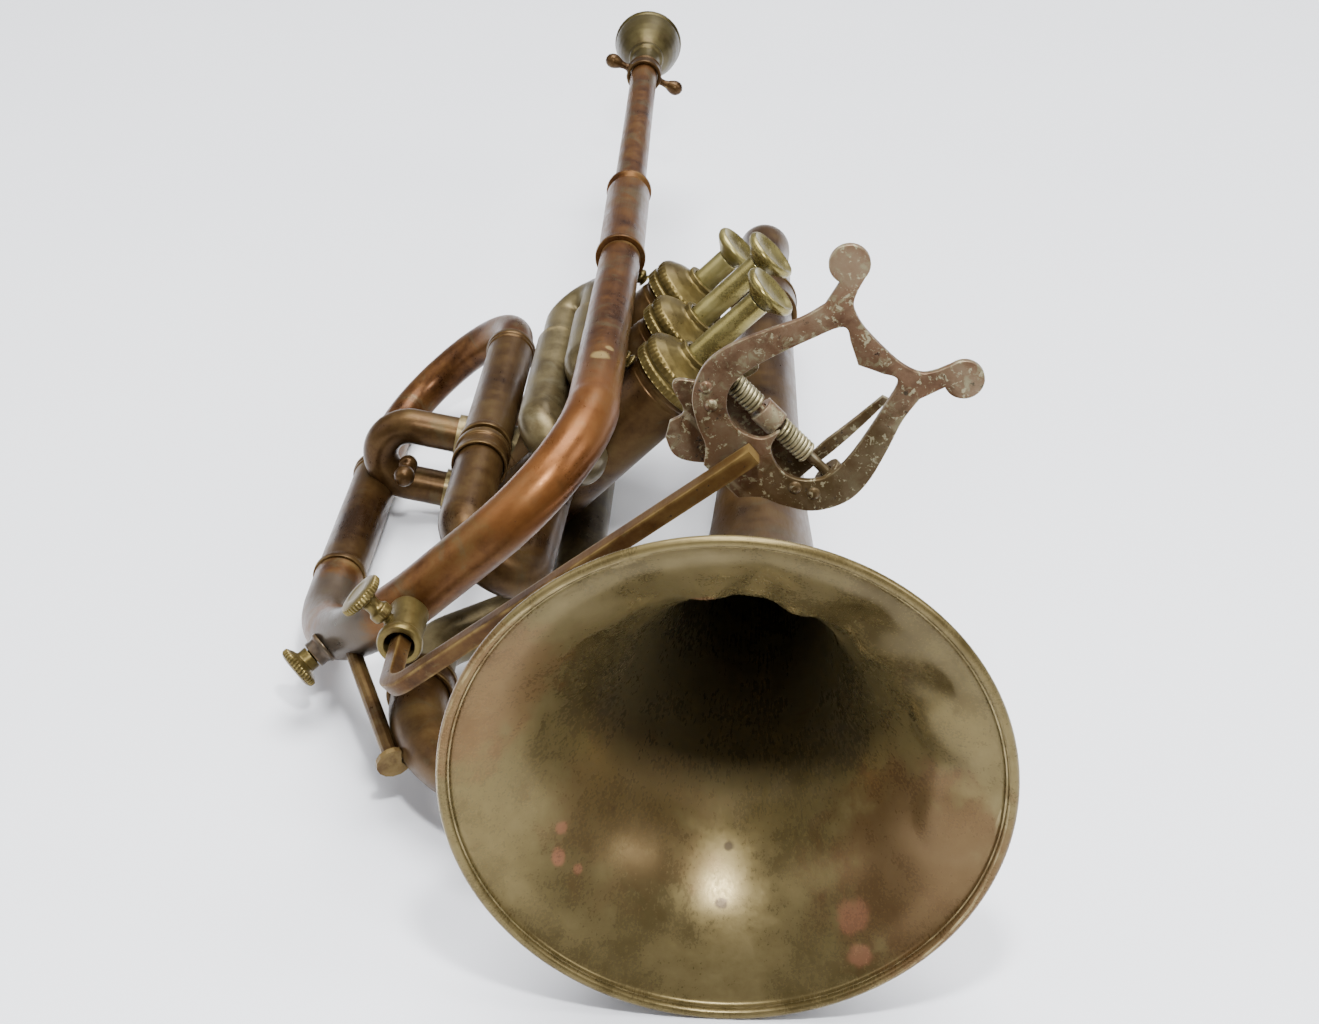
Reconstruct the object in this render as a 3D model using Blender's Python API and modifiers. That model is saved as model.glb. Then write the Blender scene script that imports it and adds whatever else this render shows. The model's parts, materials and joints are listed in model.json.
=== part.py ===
"""Three-piston bugle with a wide tuning loop, a sliding mouthpipe and a clip-on music lyre.

The instrument is laid out in its playing frame, in millimetres: the bell faces -Y, the pistons
rise along +Z, and the player's left hand is on the +X side.  One empty then lays the whole
assembly on a flat surface, on its bell rim, its tuning slide and its rear bow.
"""
import math

import bmesh
import bpy
from mathutils import Matrix, Vector

MM = 0.001                       # model units per millimetre
GAP = 0.3                        # clearance between touching pieces, mm

# ---- resting pose -----------------------------------------------------------------------
ROLL = math.radians(45.14)        # turn about the bell's axis
SLOPE = math.radians(3.04)       # the bell's axis falls this much towards the mouthpiece
SUPPORT_HEIGHT = 59.7            # height of the rim's centre above the surface

# ---- bell -------------------------------------------------------------------------------
BELL_RIM_RADIUS = 60.0
BELL_WIRE_RADIUS = 1.2
BELL_WALL = 0.7
STEM_X = 4.0                     # the stem leaves the rim's axis a little
STEM_Z = 5.0
BELL_LENGTH = 262.0
BOW_FRONT_X = 29.5               # forward leg of the bell's rear bow
BOW_FRONT_Z = -20.5

# ---- valves -----------------------------------------------------------------------------
VALVE_X = -22.0
VALVE_Y = (236.0, 208.0, 180.0)  # first, second and third valve
CASING_RADIUS = 11.3
CASING_BORE = 10.3
CASING_TOP = -1.0
CASING_BOTTOM = -74.0
PISTON_RADIUS = 10.2
PISTON_LENGTH = 40.0
PISTON_TOP = -3.0
PRESSED = (13.0, 0.0, 0.0)       # how far each piston stands pressed at rest
STEM_RADIUS = 3.6
BUTTON_RADIUS = 8.2
BUTTON_TOP = 33.0

# ---- tubing -----------------------------------------------------------------------------
WALL = 0.7
MOUTHPIECE = Vector((-50.5, 461.0, -7.4))        # centre of the mouthpiece's rim
LEADPIPE_START = Vector((-44.1, 238.0, -8.7))    # where the leadpipe meets its sleeve
PIPE_AXIS = (MOUTHPIECE - LEADPIPE_START).normalized()
LOOP_LOWER = (-50.0, -107.6)     # x, z of the tuning loop's two legs
LOOP_UPPER = (-46.0, -54.6)
DRAIN_FOOT = (-49.9, 110.4, -95.0)
DRAIN_AIM = (-0.17, -0.47, -0.865)   # the drain plug points down and outwards
INNER_RADIUS = 5.9               # tuning slide's inner legs
SLEEVE_RADIUS = 6.9
VALVE_TUBE = 5.3                 # tubes of the valve slides
VALVE_SLEEVE = 6.3

# ---- lyre -------------------------------------------------------------------------------
LYRE_X = -33.1                   # the lyre's line of symmetry
LYRE_Y = 55.5
LYRE_THICKNESS = 1.6
LYRE_PIN_Z = 45.7
LYRE_ROD = 2.8                   # half of the square rod's diagonal


# ---- scene set-up -----------------------------------------------------------------------
for old in list(bpy.data.objects):
    bpy.data.objects.remove(old, do_unlink=True)

parts = bpy.data.collections.new("bugle")
cutters = bpy.data.collections.new("cutters")
bpy.context.scene.collection.children.link(parts)
bpy.context.scene.collection.children.link(cutters)

rest = bpy.data.objects.new("resting_frame", None)
rest.matrix_world = (Matrix.Translation((0, 0, SUPPORT_HEIGHT * MM))
                     @ Matrix.Rotation(-SLOPE, 4, "X") @ Matrix.Rotation(ROLL, 4, "Y"))
parts.objects.link(rest)


def make_material(name, colour, roughness, metallic):
    """A plain finish: the base colour, roughness and metallic value of one kind of surface."""
    material = bpy.data.materials.new(name)
    material.use_nodes = True
    shader = material.node_tree.nodes["Principled BSDF"]
    shader.inputs["Base Color"].default_value = (*colour, 1.0)
    shader.inputs["Roughness"].default_value = roughness
    shader.inputs["Metallic"].default_value = metallic
    material.diffuse_color = (*colour, 1.0)
    return material


FINISHES = {
    "bell_brass": make_material("bell_brass", (0.36, 0.30, 0.16), 0.34, 0.9),
    "red_patina": make_material("red_patina", (0.28, 0.15, 0.08), 0.42, 0.8),
    "brown_brass": make_material("brown_brass", (0.24, 0.18, 0.11), 0.45, 0.8),
    "grey_brass": make_material("grey_brass", (0.33, 0.31, 0.25), 0.42, 0.8),
    "bright_brass": make_material("bright_brass", (0.55, 0.50, 0.28), 0.28, 0.95),
    "plated_steel": make_material("plated_steel", (0.36, 0.29, 0.24), 0.5, 0.7),
    "spring_steel": make_material("spring_steel", (0.40, 0.37, 0.30), 0.38, 0.9),
}


def adopt(obj, finish):
    """Put a finished shape in the part's collection, under the resting frame."""
    for home in list(obj.users_collection):
        home.objects.unlink(obj)
    parts.objects.link(obj)
    obj.parent = rest
    obj.data.materials.clear()
    obj.data.materials.append(FINISHES[finish])
    return obj


def move_origin(obj, origin):
    """Set a mesh object's origin, in playing-frame millimetres, without moving its shape."""
    target = Vector(origin) * MM
    obj.data.transform(Matrix.Translation(obj.matrix_basis.inverted() @ target * -1.0))
    obj.location = target


# ---- shape makers -----------------------------------------------------------------------
def rounded_path(corners, radii, steps=6):
    """A route of straight runs joined by arcs: each inner corner is filleted with its radius."""
    points = [Vector(corners[0])]
    for index in range(1, len(corners) - 1):
        before, corner, after = (Vector(corners[index + k]) for k in (-1, 0, 1))
        into = (before - corner).normalized()
        out = (after - corner).normalized()
        half = 0.5 * into.angle(out)
        reach = radii[index - 1] / math.tan(half)
        centre = corner + (into + out).normalized() * radii[index - 1] / math.sin(half)
        start = corner + into * reach - centre
        end = corner + out * reach - centre
        sweep = start.angle(end)
        for step in range(steps + 1):
            share = step / steps
            blend = (start * math.sin((1 - share) * sweep) + end * math.sin(share * sweep))
            points.append(centre + blend / math.sin(sweep))
    points.append(Vector(corners[-1]))
    return points


def lengths_along(points):
    """Distance from the first point to each point, measured along the route."""
    total = [0.0]
    for first, second in zip(points, points[1:]):
        total.append(total[-1] + (second - first).length)
    return total


def sweep(name, points, radii, finish, wall=WALL, sides=12, origin=None):
    """A tube along a route; radii is one number, or a start and an end radius.  wall=None is solid.
    The object's origin is the route's first point unless another is given."""
    points = [Vector(point) for point in points]
    if isinstance(radii, (int, float)):
        radii = (radii, radii)
    base = Vector(origin) if origin is not None else points[0]
    along = lengths_along(points)
    if len(radii) == 2:
        radii = [radii[0] + (radii[1] - radii[0]) * run / along[-1] for run in along]
    curve = bpy.data.curves.new(name, "CURVE")
    curve.dimensions = "3D"
    curve.bevel_depth = MM
    curve.bevel_resolution = (sides - 4) // 2
    curve.use_fill_caps = wall is None
    spline = curve.splines.new("POLY")
    spline.points.add(len(points) - 1)
    for knot, point, radius in zip(spline.points, points, radii):
        knot.co = (*((point - base) * MM), 1.0)
        knot.radius = radius
    spline.use_smooth = True
    obj = bpy.data.objects.new(name, curve)
    obj.location = base * MM
    adopt(obj, finish)
    if wall is not None:
        shell = obj.modifiers.new("wall", "SOLIDIFY")
        shell.thickness = wall * MM
        shell.offset = -1.0
    return obj


def turn(name, profile, origin, axis, finish, steps=16, closed=True):
    """A turned piece.  profile lists (radius, height) down the outer side and up the bore."""
    mesh = bpy.data.meshes.new(name)
    shape = bmesh.new()
    ring = [shape.verts.new((radius * MM, 0.0, height * MM)) for radius, height in profile]
    for first, second in zip(ring, ring[1:]):
        shape.edges.new((first, second))
    if closed:
        shape.edges.new((ring[-1], ring[0]))
    shape.to_mesh(mesh)
    shape.free()
    obj = bpy.data.objects.new(name, mesh)
    adopt(obj, finish)
    screw = obj.modifiers.new("turn", "SCREW")
    screw.steps = steps
    screw.render_steps = steps
    screw.use_merge_vertices = True
    screw.merge_threshold = 0.00001
    screw.use_smooth_shade = True
    obj.location = Vector(origin) * MM
    obj.rotation_euler = Vector(axis).to_track_quat("Z", "Y").to_euler()
    return obj


def tube_profile(outer, inner, length, bead=0.0, bead_width=2.0):
    """Profile of a straight sleeve with an optional raised ring at each end."""
    if not bead:
        return [(outer, length), (outer, 0.0), (inner, 0.0), (inner, length)]
    return [(outer + bead, length), (outer + bead, length - bead_width),
            (outer, length - bead_width), (outer, bead_width),
            (outer + bead, bead_width), (outer + bead, 0.0), (inner, 0.0), (inner, length)]


def as_mesh(obj):
    """Turn a swept curve into a mesh object with welded ends, ready for cutting."""
    bpy.context.view_layer.update()
    graph = bpy.context.evaluated_depsgraph_get()
    mesh = bpy.data.meshes.new_from_object(obj.evaluated_get(graph))
    welded = bmesh.new()
    welded.from_mesh(mesh)
    bmesh.ops.remove_doubles(welded, verts=welded.verts, dist=0.00001)
    bmesh.ops.recalc_face_normals(welded, faces=welded.faces)
    welded.to_mesh(mesh)
    welded.free()
    name = obj.name
    material = obj.data.materials[0]
    placed = obj.matrix_basis.copy()
    bpy.data.objects.remove(obj)
    result = bpy.data.objects.new(name, mesh)
    parts.objects.link(result)
    result.parent = rest
    result.matrix_basis = placed
    mesh.materials.clear()
    mesh.materials.append(material)
    mesh.shade_smooth()
    return result


def cutter_cylinder(name, start, end, radius, sides=24):
    """A cylinder from start to end that only cuts other pieces."""
    start, end = Vector(start), Vector(end)
    mesh = bpy.data.meshes.new(name)
    shape = bmesh.new()
    bmesh.ops.create_cone(shape, cap_ends=True, segments=sides, radius1=radius * MM,
                          radius2=radius * MM, depth=(end - start).length * MM)
    shape.to_mesh(mesh)
    shape.free()
    tool = bpy.data.objects.new(name, mesh)
    cutters.objects.link(tool)
    tool.parent = rest
    tool.location = (start + end) * 0.5 * MM
    tool.rotation_euler = (end - start).to_track_quat("Z", "Y").to_euler()
    tool.hide_render = True
    tool.display_type = "WIRE"
    return tool


def combine(obj, tool, operation="DIFFERENCE"):
    """Apply one exact Boolean modifier to a mesh object."""
    modifier = obj.modifiers.new(tool.name, "BOOLEAN")
    modifier.operation = operation
    modifier.solver = "EXACT"
    modifier.object = tool
    return modifier


def flat_outline(name, loops, thickness, finish, matrix):
    """A plate cut from sheet: loops of (u, v) points, placed by a matrix, thick about its plane."""
    curve = bpy.data.curves.new(name, "CURVE")
    curve.dimensions = "2D"
    curve.fill_mode = "BOTH"
    curve.extrude = 0.5 * thickness * MM
    for loop in loops:
        spline = curve.splines.new("POLY")
        spline.points.add(len(loop) - 1)
        for knot, (u, v) in zip(spline.points, loop):
            knot.co = (u * MM, v * MM, 0.0, 1.0)
        spline.use_cyclic_u = True
    obj = bpy.data.objects.new(name, curve)
    adopt(obj, finish)
    obj.matrix_basis = matrix
    return obj


def arc(centre, radius, start, end, steps):
    """Points on an arc in a plane, from one angle to another, in degrees."""
    points = []
    for step in range(steps + 1):
        angle = math.radians(start + (end - start) * step / steps)
        points.append((centre[0] + radius * math.cos(angle), centre[1] + radius * math.sin(angle)))
    return points


def smooth_line(knots, steps=4):
    """Points on a smooth line through flat (u, v) knots."""
    points = []
    for index in range(len(knots) - 1):
        p0 = knots[max(index - 1, 0)]
        p1, p2 = knots[index], knots[index + 1]
        p3 = knots[min(index + 2, len(knots) - 1)]
        for step in range(steps):
            t = step / steps
            points.append(tuple(
                0.5 * (2 * b + (c - a) * t + (2 * a - 5 * b + 4 * c - d) * t * t
                       + (3 * b - a - 3 * c + d) * t ** 3)
                for a, b, c, d in zip(p0, p1, p2, p3)))
    points.append(knots[-1])
    return points


# ---- bell -------------------------------------------------------------------------------
BELL_PROFILE = [(1.5, 57.7), (2.8, 55.3), (5.2, 50.9), (9.0, 46.1), (14, 41.1), (21, 35.8), (30, 30.4),
                (42, 25.4), (57, 20.8), (76, 16.7), (100, 13.5), (132, 11.6), (180, 10.1),
                (BELL_LENGTH, 8.6)]      # distance behind the rim, outer radius


def build_bell():
    """Bell flare and stem, the wire in its rim, and the ferrule at the end of the stem."""
    path = []
    for run, radius in BELL_PROFILE:
        lean = min(1.0, run / 110.0)
        lean = lean * lean * (3 - 2 * lean)
        path.append((STEM_X * lean, run, STEM_Z * lean))
    sweep("bell", path, [radius for run, radius in BELL_PROFILE], "bell_brass", BELL_WALL, sides=32)

    bpy.ops.mesh.primitive_torus_add(
        major_radius=(BELL_RIM_RADIUS - BELL_WIRE_RADIUS) * MM, minor_radius=BELL_WIRE_RADIUS * MM,
        major_segments=36, minor_segments=6, rotation=(math.pi / 2, 0, 0))
    wire = bpy.context.object
    wire.name = "bell_rim_wire"
    wire.data.shade_smooth()
    adopt(wire, "bell_brass")

    end = BELL_PROFILE[-1][1]
    turn("bell_stem_ferrule", tube_profile(end + 1.6, end + GAP, 12.0),
         (STEM_X, BELL_LENGTH - 7.0, STEM_Z), (0, 1, 0), "brown_brass")


def build_bell_bow():
    """The rear bow behind the bell and the front bow under it, with their ferrules."""
    start = BELL_PROFILE[-1][1]
    back = Vector((STEM_X, 0, STEM_Z))
    front = Vector((BOW_FRONT_X, 0, BOW_FRONT_Z))
    radius = 0.5 * (front - back).length
    top = BELL_LENGTH + 48.0
    route = [back + Vector((0, BELL_LENGTH + GAP, 0)), back + Vector((0, top + radius, 0)),
             front + Vector((0, top + radius, 0)), front + Vector((0, 120, 0))]
    sweep("bell_rear_bow", rounded_path(route, (radius, radius)), (start, 7.4), "brown_brass")

    ring = Vector((-28.5, 95, -83))
    low_leg = [front + Vector((0, 120 - GAP, 0)), front + Vector((0, 48, 0)),
               Vector((ring.x, 48, ring.z)), ring]
    reach = 0.5 * (front - Vector((ring.x, 0, ring.z))).length
    front_route = rounded_path(low_leg, (reach, reach))
    sweep("front_bow", front_route, (7.6, 7.4), "brown_brass")
    turn("front_bow_ferrule_left", tube_profile(8.7, 7.6 + GAP, 9.0),
         front + Vector((0, 115.5, 0)), (0, 1, 0), "brown_brass")
    turn("front_bow_ferrule_right", tube_profile(8.5, 7.4 + GAP, 7.5, 0.5),
         ring + Vector((0, -4.0, 0)), (0, 1, 0), "brown_brass")
    return ring, front_route


# ---- valves -----------------------------------------------------------------------------
def seat_on_casing(tube, number):
    """Cut a tube's end to the round wall of a valve casing."""
    y = VALVE_Y[number - 1]
    pipe = as_mesh(tube)
    combine(pipe, cutter_cylinder(f"seat_{pipe.name}", (VALVE_X, y, -90), (VALVE_X, y, 10),
                                  CASING_RADIUS + GAP, sides=48))
    return pipe


def build_casing(number, y):
    """One valve's casing with its two screwed caps."""
    height = CASING_TOP - CASING_BOTTOM
    wall = [(CASING_RADIUS, height), (CASING_RADIUS, 0.0), (CASING_BORE, 0.0), (CASING_BORE, height)]
    turn(f"valve_casing_{number}", wall, (VALVE_X, y, CASING_BOTTOM), (0, 0, 1), "brown_brass",
         steps=20)
    outer = CASING_RADIUS + 1.4
    inner = CASING_RADIUS + GAP
    neck = STEM_RADIUS + GAP
    top = [(neck + 1.6, 11.5), (neck + 1.6, 9.5), (outer - 3.0, 8.0), (outer - 0.6, 6.5), (outer, 5.6),
           (outer, 0.0), (inner, 0.0), (inner, 5.0 + GAP), (neck, 5.0 + GAP), (neck, 11.5)]
    turn(f"valve_top_cap_{number}", top, (VALVE_X, y, CASING_TOP - 5.0), (0, 0, 1), "bright_brass",
         steps=16)
    plug = CASING_BORE - GAP
    bottom = [(plug, 3.5), (plug, -GAP), (CASING_RADIUS - 0.2, -GAP), (CASING_RADIUS - 0.8, -2.8),
              (1.0, -2.8), (1.0, -1.2), (plug - 1.2, -1.2), (plug - 1.2, 3.5)]
    turn(f"valve_bottom_cap_{number}", bottom, (VALVE_X, y, CASING_BOTTOM), (0, 0, 1), "grey_brass",
         steps=14)


def build_piston(number, y, pressed):
    """Piston with its two windways, its stem and finger button, and the spring under it."""
    top = PISTON_TOP - pressed
    piston = turn(f"piston_{number}", [(PISTON_RADIUS - 0.2, 0.0), (PISTON_RADIUS - 0.2, -PISTON_LENGTH),
                                       (7.6, -PISTON_LENGTH), (7.6, -PISTON_LENGTH + 6.0),
                                       (1.6, -PISTON_LENGTH + 6.0), (1.6, 0.0)],
                  (VALVE_X, y, top), (0, 0, 1), "grey_brass")
    for count, drop in enumerate((9.5, 24.5)):
        reach = Vector((14, 4 if count else -4, 0))
        middle = Vector((VALVE_X, y, top - drop))
        combine(piston, cutter_cylinder(f"windway_{number}_{count}", middle - reach, middle + reach,
                                        4.6, sides=12))
    lift = BUTTON_TOP - pressed
    stem_length = lift - 5.0 - top
    turn(f"piston_stem_{number}", [(STEM_RADIUS, stem_length), (STEM_RADIUS, 1.6), (6.0, 1.2), (6.0, 0),
                                   (1.2, 0), (1.2, stem_length)],
         (VALVE_X, y, top + GAP), (0, 0, 1), "bright_brass", steps=12)
    button = [(0.0, -0.3), (BUTTON_RADIUS - 2.6, 0.1), (BUTTON_RADIUS - 0.8, 0.9), (BUTTON_RADIUS, 0.0),
              (BUTTON_RADIUS - 0.4, -1.4), (BUTTON_RADIUS - 2.4, -3.2), (STEM_RADIUS + 0.8, -4.2),
              (0.0, -4.2)]
    turn(f"finger_button_{number}", button, (VALVE_X, y, lift), (0, 0, 1), "bright_brass",
         steps=16, closed=False)

    low = CASING_BOTTOM + 0.2
    high = top - PISTON_LENGTH + 6.0 - 0.9
    turns, per_turn = 5, 6
    coil = []
    for step in range(turns * per_turn + 1):
        angle = 2 * math.pi * step / per_turn
        coil.append((VALVE_X + 5.8 * math.cos(angle), y + 5.8 * math.sin(angle),
                     low + (high - low) * step / (turns * per_turn)))
    sweep(f"valve_spring_{number}", coil, 0.55, "spring_steel", wall=None, sides=4,
          origin=(VALVE_X, y, low))


# ---- mouthpipe and tuning loop ----------------------------------------------------------
def build_mouthpipe():
    """Mouthpiece, the sliding mouthpipe with its wing nut, its sleeve, and the leadpipe."""
    cup = [(11.0, 0.0), (12.6, -0.9), (13.0, -2.4), (12.3, -4.0), (12.5, -6.0), (11.4, -12.0),
           (8.6, -18.0), (6.4, -21.0), (5.9, -24.0), (5.0, -26.0), (4.0, -32.0), (3.9, -52.0),
           (2.6, -52.0), (1.9, -18.5), (4.2, -14.0), (7.4, -8.0), (8.6, -2.2)]
    turn("mouthpiece", cup, MOUTHPIECE, PIPE_AXIS, "bright_brass", steps=20)
    sweep("mouthpipe", [MOUTHPIECE - PIPE_AXIS * 33, MOUTHPIECE - PIPE_AXIS * 93,
                        MOUTHPIECE - PIPE_AXIS * 208], (4.9, 4.9, 5.2), "red_patina", wall=0.6)

    nut = MOUTHPIECE - PIPE_AXIS * 45
    wings = turn("mouthpipe_wing_nut", tube_profile(6.6, 5.2, 7.0), nut, PIPE_AXIS, "brown_brass")
    spread = Vector((0.93, 0.02, 0.366))
    for side in (-1, 1):
        ear = turn(f"wing_{side}", [(0.0, 15.6), (1.6, 15.0), (2.7, 13.2), (2.6, 11.4), (1.5, 9.4),
                                    (1.2, 6.0), (0.0, 6.0)], nut + PIPE_AXIS * 3.5, spread * side,
                   "brown_brass", steps=10, closed=False)
        as_cutter(ear)
        combine(wings, ear, "UNION")

    sleeve = [(7.3, 58.0), (7.3, 56.4), (6.0, 55.8), (6.0, 53.4), (6.9, 52.6), (6.9, 2.0), (7.6, 2.0),
              (7.6, 0.0), (5.5, 0.0), (5.5, 58.0)]
    turn("mouthpipe_sleeve", sleeve, LEADPIPE_START, PIPE_AXIS, "red_patina")

    route = leadpipe_route()
    pipe = as_mesh(sweep("leadpipe", route, (6.1, 6.7) + (7.0,) * (len(route) - 2), "red_patina"))
    boss = turn("drain_boss", [(3.6, 9.1), (3.6, 5.6), (2.2, 5.6), (2.2, 9.1)], DRAIN_FOOT, DRAIN_AIM,
                "red_patina", steps=14)
    as_cutter(boss)
    combine(pipe, boss, "UNION")


def leadpipe_route():
    """Centre line of the leadpipe: forward, down in front of the valves and back to the loop."""
    corners = [LEADPIPE_START - PIPE_AXIS * GAP, (-44.3, 99.5, -8.5),
               (-49.6, 97.0, LOOP_LOWER[1]), (LOOP_LOWER[0], 154.0, LOOP_LOWER[1])]
    return rounded_path(corners, (33.0, 44.0), steps=7)


def build_tuning_loop():
    """The two sleeves of the tuning slide, the slide's bow, and the pipe on to the valves."""
    lower_x, lower_z = LOOP_LOWER
    upper_x, upper_z = LOOP_UPPER
    bore = INNER_RADIUS + GAP
    turn("tuning_sleeve_lower", tube_profile(SLEEVE_RADIUS, bore, 66.0, 0.7),
         (lower_x, 154.0 + GAP, lower_z), (0, 1, 0), "brown_brass")
    turn("tuning_sleeve_upper", tube_profile(SLEEVE_RADIUS, bore, 68.0, 0.7),
         (upper_x, 170.0, upper_z), (0, 1, 0), "brown_brass")
    lower = Vector((lower_x, 0, lower_z))
    upper = Vector((upper_x, 0, upper_z))
    reach = 0.5 * (upper - lower).length
    top = 244.0 + reach
    route = [lower + Vector((0, 178.0, 0)), lower + Vector((0, top, 0)), upper + Vector((0, top, 0)),
             upper + Vector((0, 184.0, 0))]
    sweep("tuning_slide", rounded_path(route, (reach, reach)), INNER_RADIUS, "red_patina")

    start = upper + Vector((0, 170.0 - GAP, 0))
    inlet = [start, upper + Vector((0, 116.0, 0)), (-25.0, 116.0, -52.5), (-24.0, 176.0, -50.5)]
    seat_on_casing(sweep("valve_inlet_pipe", rounded_path(inlet, (10.4, 10.4), steps=5), (6.7, 6.5),
                         "brown_brass"), 3)
    turn("valve_inlet_ferrule", [(7.8, 9.0), (7.8, 7.0), (7.2, 6.6), (7.2, 2.4), (7.8, 2.0), (7.8, 0.0),
                                 (7.0, 0.0), (7.0, 9.0)],
         upper + Vector((0, 158.0, 0)), (0, 1, 0), "brown_brass")


def as_cutter(obj):
    """Move an object to the cutters, where it only shapes others."""
    for home in list(obj.users_collection):
        home.objects.unlink(obj)
    cutters.objects.link(obj)
    obj.hide_render = True
    obj.display_type = "WIRE"


# ---- branch to the front bow, and the valve slides --------------------------------------
def build_branch(ring):
    """The pipe from the first valve forward, down past the third, to the front bow."""
    corners = [(-17, 236, -59), (-3.6, 236, -59), (-3.6, 148, -59), (-28.5, 116, -83),
               ring + Vector((0, GAP, 0))]
    seat_on_casing(sweep("valve_branch", rounded_path(corners, (9.0, 24.0, 14.0), steps=4),
                         (6.5, 6.9), "grey_brass"), 1)


def slide_bow(name, first, second, inner_end, crest, direction, finish, steps=5):
    """A U-shaped slide: two straight legs joined by a half-circle bow."""
    first, second, direction = Vector(first), Vector(second), Vector(direction).normalized()
    reach = 0.5 * (second - first).length
    route = [first + direction * inner_end, first + direction * crest, second + direction * crest,
             second + direction * inner_end]
    return sweep(name, rounded_path(route, (reach, reach), steps=steps), VALVE_TUBE, finish,
                 sides=10)


def slide_sleeve(name, corners, radii, finish, number=None):
    """The outer tube of a valve slide; it ends on its casing when a valve's number is given."""
    tube = sweep(name, rounded_path(corners, radii, steps=4), VALVE_SLEEVE, finish,
                 VALVE_SLEEVE - VALVE_TUBE - GAP)
    if number is not None:
        seat_on_casing(tube, number)


def build_first_slide():
    """First valve's slide: two sleeves behind the casing and the bow that pulls back."""
    for label, z in (("upper", -47.0), ("lower", -65.0)):
        slide_sleeve(f"slide_1_sleeve_{label}",
                     [(VALVE_X, 298, z), (VALVE_X, VALVE_Y[0] + 6, z)], (), "grey_brass", 1)
    slide_bow("slide_1_bow", (VALVE_X, 0, -47), (VALVE_X, 0, -65), 272, 314, (0, 1, 0), "brown_brass")


def build_second_slide():
    """Second valve's short slide: it slopes down to the right and has a pull knob."""
    along = Vector((-0.83, 0.0, -0.5577)).normalized()
    across = Vector((-along.z, 0.0, along.x))
    centre = Vector((-42.3, VALVE_Y[1], -84.0))
    half = 9.4
    lower = centre + across * half
    upper = centre - across * half
    slide_sleeve("slide_2_sleeve_upper", [upper - along * 3, upper - along * 24], (), "grey_brass", 2)
    elbow = lower - along * ((VALVE_X - lower.x) / -along.x)
    foot = Vector((VALVE_X, VALVE_Y[1], CASING_BOTTOM - 3.2))
    slide_sleeve("slide_2_sleeve_lower", [lower - along * 2, elbow, foot], (6.9,), "grey_brass")
    bow = as_mesh(slide_bow("slide_2_bow", upper, lower, -12.5, half, along, "brown_brass"))
    knob = [(0.0, 12.6), (1.7, 12.2), (2.8, 10.8), (3.1, 9.4), (2.7, 7.8), (1.5, 6.6), (1.3, 4.4),
            (2.4, 3.4), (2.4, 0.0), (0.0, 0.0)]
    knob = turn("slide_2_knob", knob, centre + along * half + Vector((0, -VALVE_TUBE + 0.2, 0)),
                (0, -1, 0), "brown_brass", steps=14, closed=False)
    as_cutter(knob)
    combine(bow, knob, "UNION")


def build_third_slide():
    """Third valve's slide: two tubes run back between the leadpipe and the casings."""
    upper, lower = Vector((-40, 0, -21.6)), Vector((-42, 0, -35.2))
    slide_sleeve("slide_3_sleeve_upper", [upper + Vector((0, 218, 0)), upper + Vector((0, 180, 0)),
                                          (-26, 180, -21.6)], (7.0,), "grey_brass", 3)
    slide_sleeve("slide_3_sleeve_lower", [lower + Vector((0, 218, 0)), lower + Vector((0, 158, 0)),
                                          (-25.5, 158, -35.2), (-25, 176, -35.2)], (8.1, 8.1),
                 "grey_brass", 3)
    slide_bow("slide_3_bow", upper, lower, 200, 234, (0, 1, 0), "grey_brass")


# ---- braces, drain plug and lyre socket --------------------------------------------------
def build_braces(pipe_seat, bow_seat):
    """The turned posts that hold the leadpipe to the valves and to the front bow."""
    post = [(0.0, 4.0), (2.2, 4.0), (1.5, 3.3), (2.6, 2.0), (1.5, 0.7), (2.2, 0.0), (0.0, 0.0)]
    turn("brace_upper", post, (-36.8, 243.0, -10.0), (1, 0, 0), "bright_brass", steps=14,
         closed=False)
    balls = [(0.0, 3.2), (1.6, 3.2), (2.4, 2.4), (1.5, 1.6), (2.4, 0.8), (1.6, 0.0), (0.0, 0.0)]
    turn("brace_lower", balls, (-36.9, 178.0, -9.4), (1, 0, 0), "bright_brass", steps=14, closed=False)
    start, end = Vector((-46.0, 101.0, -91.5)), Vector((-28.6, 65.0, -86.6))
    length = (end - start).length
    rod = [(0.0, length), (4.4, length), (4.4, length - 1.4), (2.1, length - 2.6), (2.1, 0.0), (0.0, 0.0)]
    brace = turn("brace_front", rod, start, end - start, "brown_brass", steps=14, closed=False)
    combine(brace, pipe_seat)
    combine(brace, bow_seat)


def seat_of(name, route, radius):
    """A tube's outside with clearance, which shapes what is soldered to it."""
    tool = as_mesh(sweep(name, route, radius + GAP, "red_patina", wall=None))
    as_cutter(tool)
    return tool


def build_drain_plug():
    """The knurled plug screwed into the boss on the leadpipe's lowest bend."""
    plug = [(0.0, 15.4), (4.9, 15.2), (5.9, 14.4), (5.9, 13.2), (4.6, 12.4), (3.1, 11.8), (3.1, 9.4),
            (1.9, 9.4), (1.9, 7.6), (0.0, 7.6)]
    turn("drain_plug", plug, DRAIN_FOOT, DRAIN_AIM, "bright_brass", steps=18, closed=False)


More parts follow.
